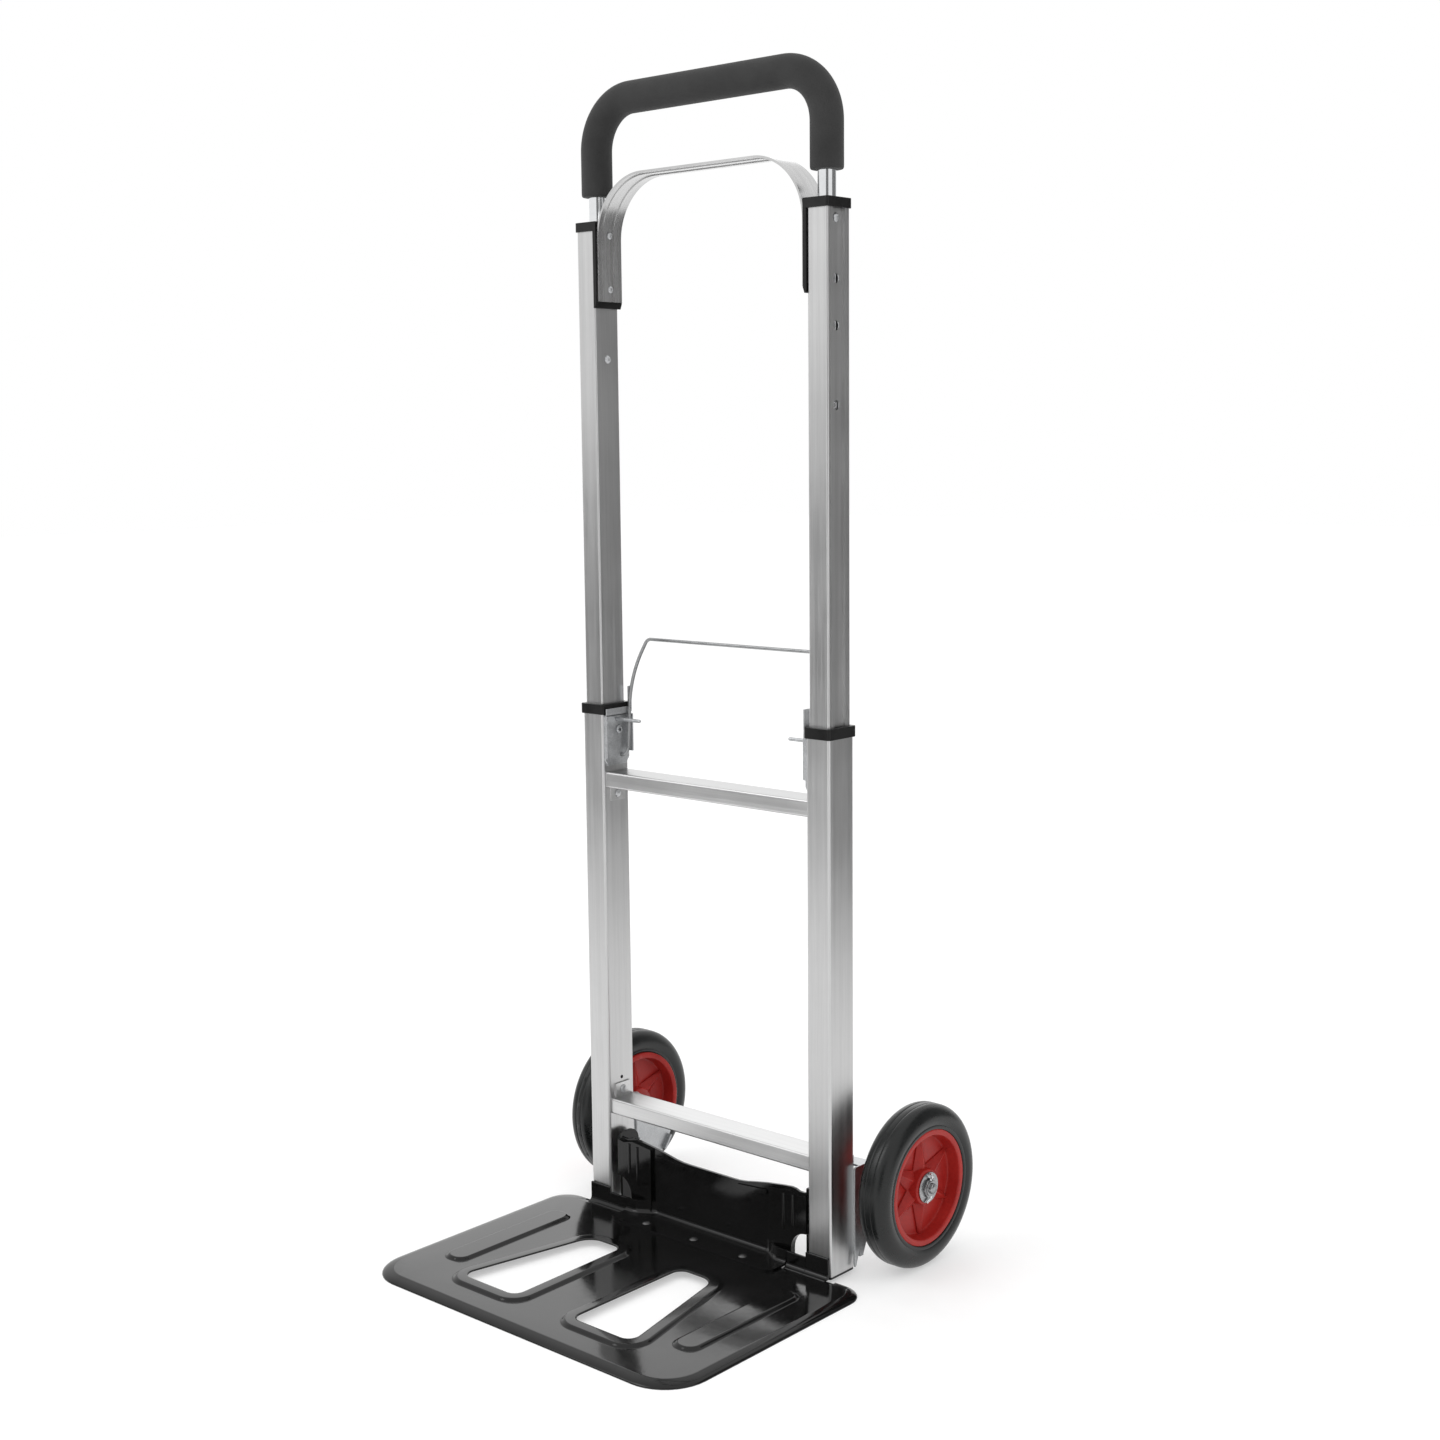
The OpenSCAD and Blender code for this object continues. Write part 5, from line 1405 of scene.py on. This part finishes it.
    def build(self, wardrobe: Wardrobe) -> None:
        """Builds and dresses all of both wheels.

        Args:
            wardrobe: the finishes.
        """
        self.fit_pair(wardrobe, self.build_rim(), RED, True, "wheel_rim")
        kit = ((self.build_tyre(), RUBBER, True, "tyre"),
               (self.build_skirt(), ZINC, False, ""),
               (self.build_washers(), WASHER_STEEL, False, "axle_washers"),
               (self.build_nut(), STEEL, False, "axle_nut"))
        for piece, finish, spins, node in kit:
            self.fit_pair(wardrobe, piece, finish, spins, node)
        for side in ("left", "right"):
            wardrobe.dress_node(f"{side}_wheel_bush", ZINC)
            wardrobe.dress_node(f"{side}_wheel_bracket", ZINC, self.bracket_edge)
            wardrobe.dress_node(f"{side}_axle", STEEL)
            wardrobe.dress_node(f"{side}_cotter_pin", CHROME)


@dataclass
class MiddleStage:
    """Middle rails, caps, brace strap and their fasteners."""

    rail_edge: float = 0.45
    cap_edge: float = 0.6
    strap_edge: float = 0.3
    glide_edge: float = 0.3

    def build(self, wardrobe: Wardrobe) -> None:
        """Dresses the middle stage's nodes.

        Args:
            wardrobe: the finishes.
        """
        for side in ("left", "right"):
            wardrobe.dress_node(f"{side}_middle_rail", RAIL, self.rail_edge)
            wardrobe.dress_node(f"{side}_cap", PLASTIC, self.cap_edge)
        wardrobe.dress_node("brace_strap", STRAP, self.strap_edge)
        wardrobe.dress_node("middle_rail_glides", PLASTIC, self.glide_edge)
        for node in ("cap_screws", "strap_rivets", "stop_studs"):
            wardrobe.dress_node(node, ZINC)


@dataclass
class Handle:
    """Chrome tube and the foam grip over it."""

    tube_x: float = 138.8
    inner_radius: float = 8.3
    mouth: tuple[Flat, ...] = (  # the sleeve's end: radius, and rise from the one before
        (12.9, 0.0), (13.9, 0.25), (14.45, 0.7), (14.7, 1.4), (14.75, 2.4))
    bottom: float = 993.6
    crown: float = 1080.6
    bend: float = 46.0
    sides: int = 56
    leg_steps: int = 4
    bend_steps: int = 28
    top_steps: int = 6

    def build_grip(self) -> bpy.types.Object:
        """Sweeps the foam sleeve up one leg, round the bend and to the middle, then mirrors it.

        Returns:
            The grip.
        """
        mould = Mould("foam_sleeve")
        foot = mm(self.tube_x, RAIL_MIDDLE, self.bottom)
        bpy.ops.mesh.primitive_circle_add(vertices=self.sides, radius=self.inner_radius * MM,
                                          location=foot)
        bpy.ops.mesh.select_mode(type="EDGE")
        radius = self.inner_radius
        for wider, up in self.mouth:
            mould.draw(mm(0, 0, up))
            bpy.ops.transform.resize(value=(wider / radius, wider / radius, 1.0),
                                     center_override=foot)
            radius = wider
            foot = foot + mm(0, 0, up)
        centre = mm(self.tube_x - self.bend, RAIL_MIDDLE, self.crown - self.bend)
        for _ in range(self.leg_steps):
            mould.draw(Vector((0, 0, (centre.z - foot.z) / self.leg_steps)))
        mould.spin(centre, (0, 1, 0), QUARTER_TURN, self.bend_steps)
        for _ in range(self.top_steps):
            mould.draw(mm(-(self.tube_x - self.bend) / self.top_steps, 0, 0))
        return mould.done_mirrored()

    def build(self, wardrobe: Wardrobe) -> None:
        """Builds the grip and dresses the handle.

        Args:
            wardrobe: the finishes.
        """
        grip = self.build_grip()
        wardrobe.hand_over(grip, FOAM, Body.HANDLE, "handle_grip")
        wardrobe.dress_node("handle_tube", CHROME)
        wardrobe.dress_node("handle_tube_plugs", PLASTIC)
        wardrobe.dress_node("button_springs", ZINC)
        for side in ("left", "right"):
            wardrobe.dress_node(f"{side}_handle_button", CHROME)


class Wire:
    """The end of a wire that is drawn on, straight or in bends; its places are in mm."""

    def __init__(self, mould: Mould, at: Vector, way: Vector, radius: float, sides: int) -> None:
        """Starts the wire with a filled ring.

        Args:
            mould: the piece's mould.
            at: the wire's start.
            way: the direction it starts in, along x.
            radius: the wire's radius.
            sides: the ring's sides.
        """
        bpy.ops.mesh.primitive_circle_add(vertices=sides, radius=radius * MM, fill_type="NGON",
                                          location=at * MM, rotation=(0, QUARTER_TURN, 0))
        bpy.ops.mesh.select_mode(type="EDGE")
        self.mould = mould
        self.at = at
        self.way = way

    def straight(self, length: float) -> None:
        """Draws the wire straight on by a length in mm."""
        self.mould.draw(self.way * length * MM)
        self.at = self.at + self.way * length

    def bend(self, way: Vector, radius: float, count: int) -> None:
        """Bends the wire into another direction.

        Args:
            way: the direction after the bend.
            radius: the bend's radius in mm.
            count: steps in the bend.
        """
        inwards = (way - self.way * way.dot(self.way)).normalized() * radius
        axis, turn = self.way.cross(way).normalized(), self.way.angle(way)
        centre = self.at + inwards
        self.mould.spin(centre * MM, tuple(axis), SPIN_WAY * turn, count)
        self.at = centre + Matrix.Rotation(turn, 3, axis) @ -inwards
        self.way = way


@dataclass
class ReleaseBail:
    """Bent wire between the rails that draws the lock pins."""

    wire_radius: float = 1.7
    sides: int = 20
    leg_x: float = 120.5
    end_x: float = 127.0
    back: float = 24.0
    height: float = 460.0
    jog: Flat = (4.8, 6.0)  # step back and up from the pivot to the leg
    lean: float = 3.5  # of the leg, degrees
    leg: float = 41.0
    curve: float = 32.5  # of the wire above the leg, degrees
    curve_radius: float = 103.0
    end: float = 8.0
    pivot_bend: tuple[float, int] = (3.0, 8)  # radius and steps of each bend
    jog_bend: tuple[float, int] = (4.0, 5)
    curve_steps: int = 14
    corner_bend: tuple[float, int] = (4.5, 10)

    def build_wire(self) -> bpy.types.Object:
        """Draws one half of the wire along its bends, then mirrors it.

        Returns:
            The wire.
        """
        mould = Mould("bail_wire")
        inward = Vector((-1, 0, 0))
        jog, lean, last = (Vector((0, math.sin(turn), math.cos(turn))) for turn in (
            math.atan2(*self.jog), math.radians(self.lean), math.radians(self.lean + self.curve)))
        small, bend, corner = self.pivot_bend[0], self.jog_bend[0], self.corner_bend[0]
        tangent = bend * math.tan(jog.angle(lean) / 2)
        start = Vector((self.end_x, RAIL_FRONT + self.back, self.height))
        wire = Wire(mould, start, inward, self.wire_radius, self.sides)
        wire.straight(self.end_x - self.leg_x - small)
        wire.bend(jog, *self.pivot_bend)
        wire.straight(math.hypot(*self.jog) - small - tangent)
        wire.bend(lean, *self.jog_bend)
        wire.straight(self.leg - tangent)
        wire.bend(last, self.curve_radius, self.curve_steps)
        wire.straight(self.end)
        wire.bend(inward, *self.corner_bend)
        wire.straight(self.leg_x - corner)
        return mould.done_mirrored()

    def build(self, wardrobe: Wardrobe) -> None:
        """Builds and dresses the bail and the lock pins."""
        wardrobe.hand_over(self.build_wire(), WIRE, Body.BAIL, "release_bail")
        for side in ("left", "right"):
            wardrobe.dress_node(f"{side}_lock_pin", ZINC)


@dataclass
class Studio:
    """Pale floor, soft lamps, grey cards and the camera; lengths in metres."""

    camera_at: Point = (1.2411, -1.32425, 0.76355)
    azimuth: float = 41.553
    elevation: float = 7.895
    roll: float = -0.5863
    lens: float = 50.225
    sensor: float = 36.0
    floor_size: float = 30.0
    floor_parts: int = 8
    card_parts: int = 4
    sky: float = 1.0  # brightness of the white all round
    lamps: tuple[tuple[Point, Point, float, float], ...] = (  # place, aim, size and power
        ((-1.6, -2.4, 3.0), (0, 0, 0.5), 2.0, 25.0),
        ((-2.1, 2.4, 1.5), (0, 0, 0.1), 1.8, 8.0))
    cards: tuple[tuple[str, Point, Point, Flat], ...] = (
        ("card_right", (1.05, 1.05, 0.80), (0.15, 0.05, 0.80), (1.8, 1.6)),
        ("card_left", (-1.20, -1.45, 0.36), (0.0, 0.05, 0.36), (1.8, 0.72)),
        ("card_near", (1.90, -2.05, 0.85), (0.0, 0.05, 0.60), (1.5, 1.7)))

    def aim(self) -> Matrix:
        """Camera's placing from its azimuth, elevation and roll.

        Returns:
            The camera's matrix.
        """
        a, e, r = (math.radians(v) for v in (self.azimuth, self.elevation, self.roll))
        back = Vector((math.sin(a) * math.cos(e), -math.cos(a) * math.cos(e), math.sin(e)))
        level = Vector((math.cos(a), math.sin(a), 0))
        rise = back.cross(level)
        right = level * math.cos(r) + rise * math.sin(r)
        up = rise * math.cos(r) - level * math.sin(r)
        turned = Matrix((right, up, back)).transposed().to_4x4()
        return Matrix.Translation(self.camera_at) @ turned

    def build(self, wardrobe: Wardrobe) -> None:
        """Sets the camera, floor, cards, world and lamps.

        Args:
            wardrobe: the finishes.
        """
        bpy.ops.object.camera_add()
        camera = bpy.context.object
        camera.matrix_world = self.aim()
        camera.data.sensor_width = self.sensor
        camera.data.lens = self.lens
        bpy.context.scene.camera = camera
        bpy.context.scene.view_settings.view_transform = "Standard"
        mould = Mould("studio_floor")
        bpy.ops.mesh.primitive_grid_add(x_subdivisions=self.floor_parts,
                                        y_subdivisions=self.floor_parts, size=self.floor_size)
        floor = mould.done()
        wardrobe.dress(floor, FLOOR)
        for name, at, to, size in self.cards:
            self.add_card(wardrobe, name, at, to, size)
        world = bpy.data.worlds.new("studio")
        bpy.context.scene.world = world
        world.use_nodes = True
        world.node_tree.nodes["Background"].inputs[0].default_value = (1, 1, 1, 1)
        world.node_tree.nodes["Background"].inputs[1].default_value = self.sky
        for number, (at, to, size, power) in enumerate(self.lamps):
            bpy.ops.object.light_add(type="AREA", location=at)
            lamp = bpy.context.object
            lamp.name = f"lamp_{number}"
            lamp.data.size = size
            lamp.data.energy = power
            lamp.rotation_euler = (Vector(to) - Vector(at)).to_track_quat("-Z", "Y").to_euler()
            lamp.visible_camera = False

    def add_card(self, wardrobe: Wardrobe, name: str, at: Point, to: Point, size: Flat) -> None:
        """Stands a grey card outside the view for the metal to mirror.

        Args:
            wardrobe: the finishes.
            name: the card's name.
            at: its middle.
            to: the point it faces.
            size: its width and height.
        """
        bpy.ops.object.select_all(action="DESELECT")
        bpy.ops.mesh.primitive_grid_add(x_subdivisions=self.card_parts,
                                        y_subdivisions=self.card_parts, size=1.0)
        card = bpy.context.object
        card.name = name
        card.scale = (size[0], size[1], 1)
        card.location = at
        card.rotation_euler = (Vector(to) - Vector(at)).to_track_quat("Z", "Y").to_euler()
        card.visible_camera = card.visible_diffuse = card.visible_shadow = False
        bpy.ops.object.transform_apply(location=True, rotation=True, scale=True)
        wardrobe.dress(card, CARD)


def main() -> None:
    """Builds every sub-assembly in order."""
    logging.basicConfig(level=logging.INFO, format="%(message)s")
    wardrobe = Wardrobe()
    for assembly in (Studio(), LowerFrame(), ToePlateUnit(), Wheels(), MiddleStage(), Handle(),
                     ReleaseBail()):
        assembly.build(wardrobe)
        LOG.info("built %s", type(assembly).__name__)


if __name__ == "__main__":
    main()
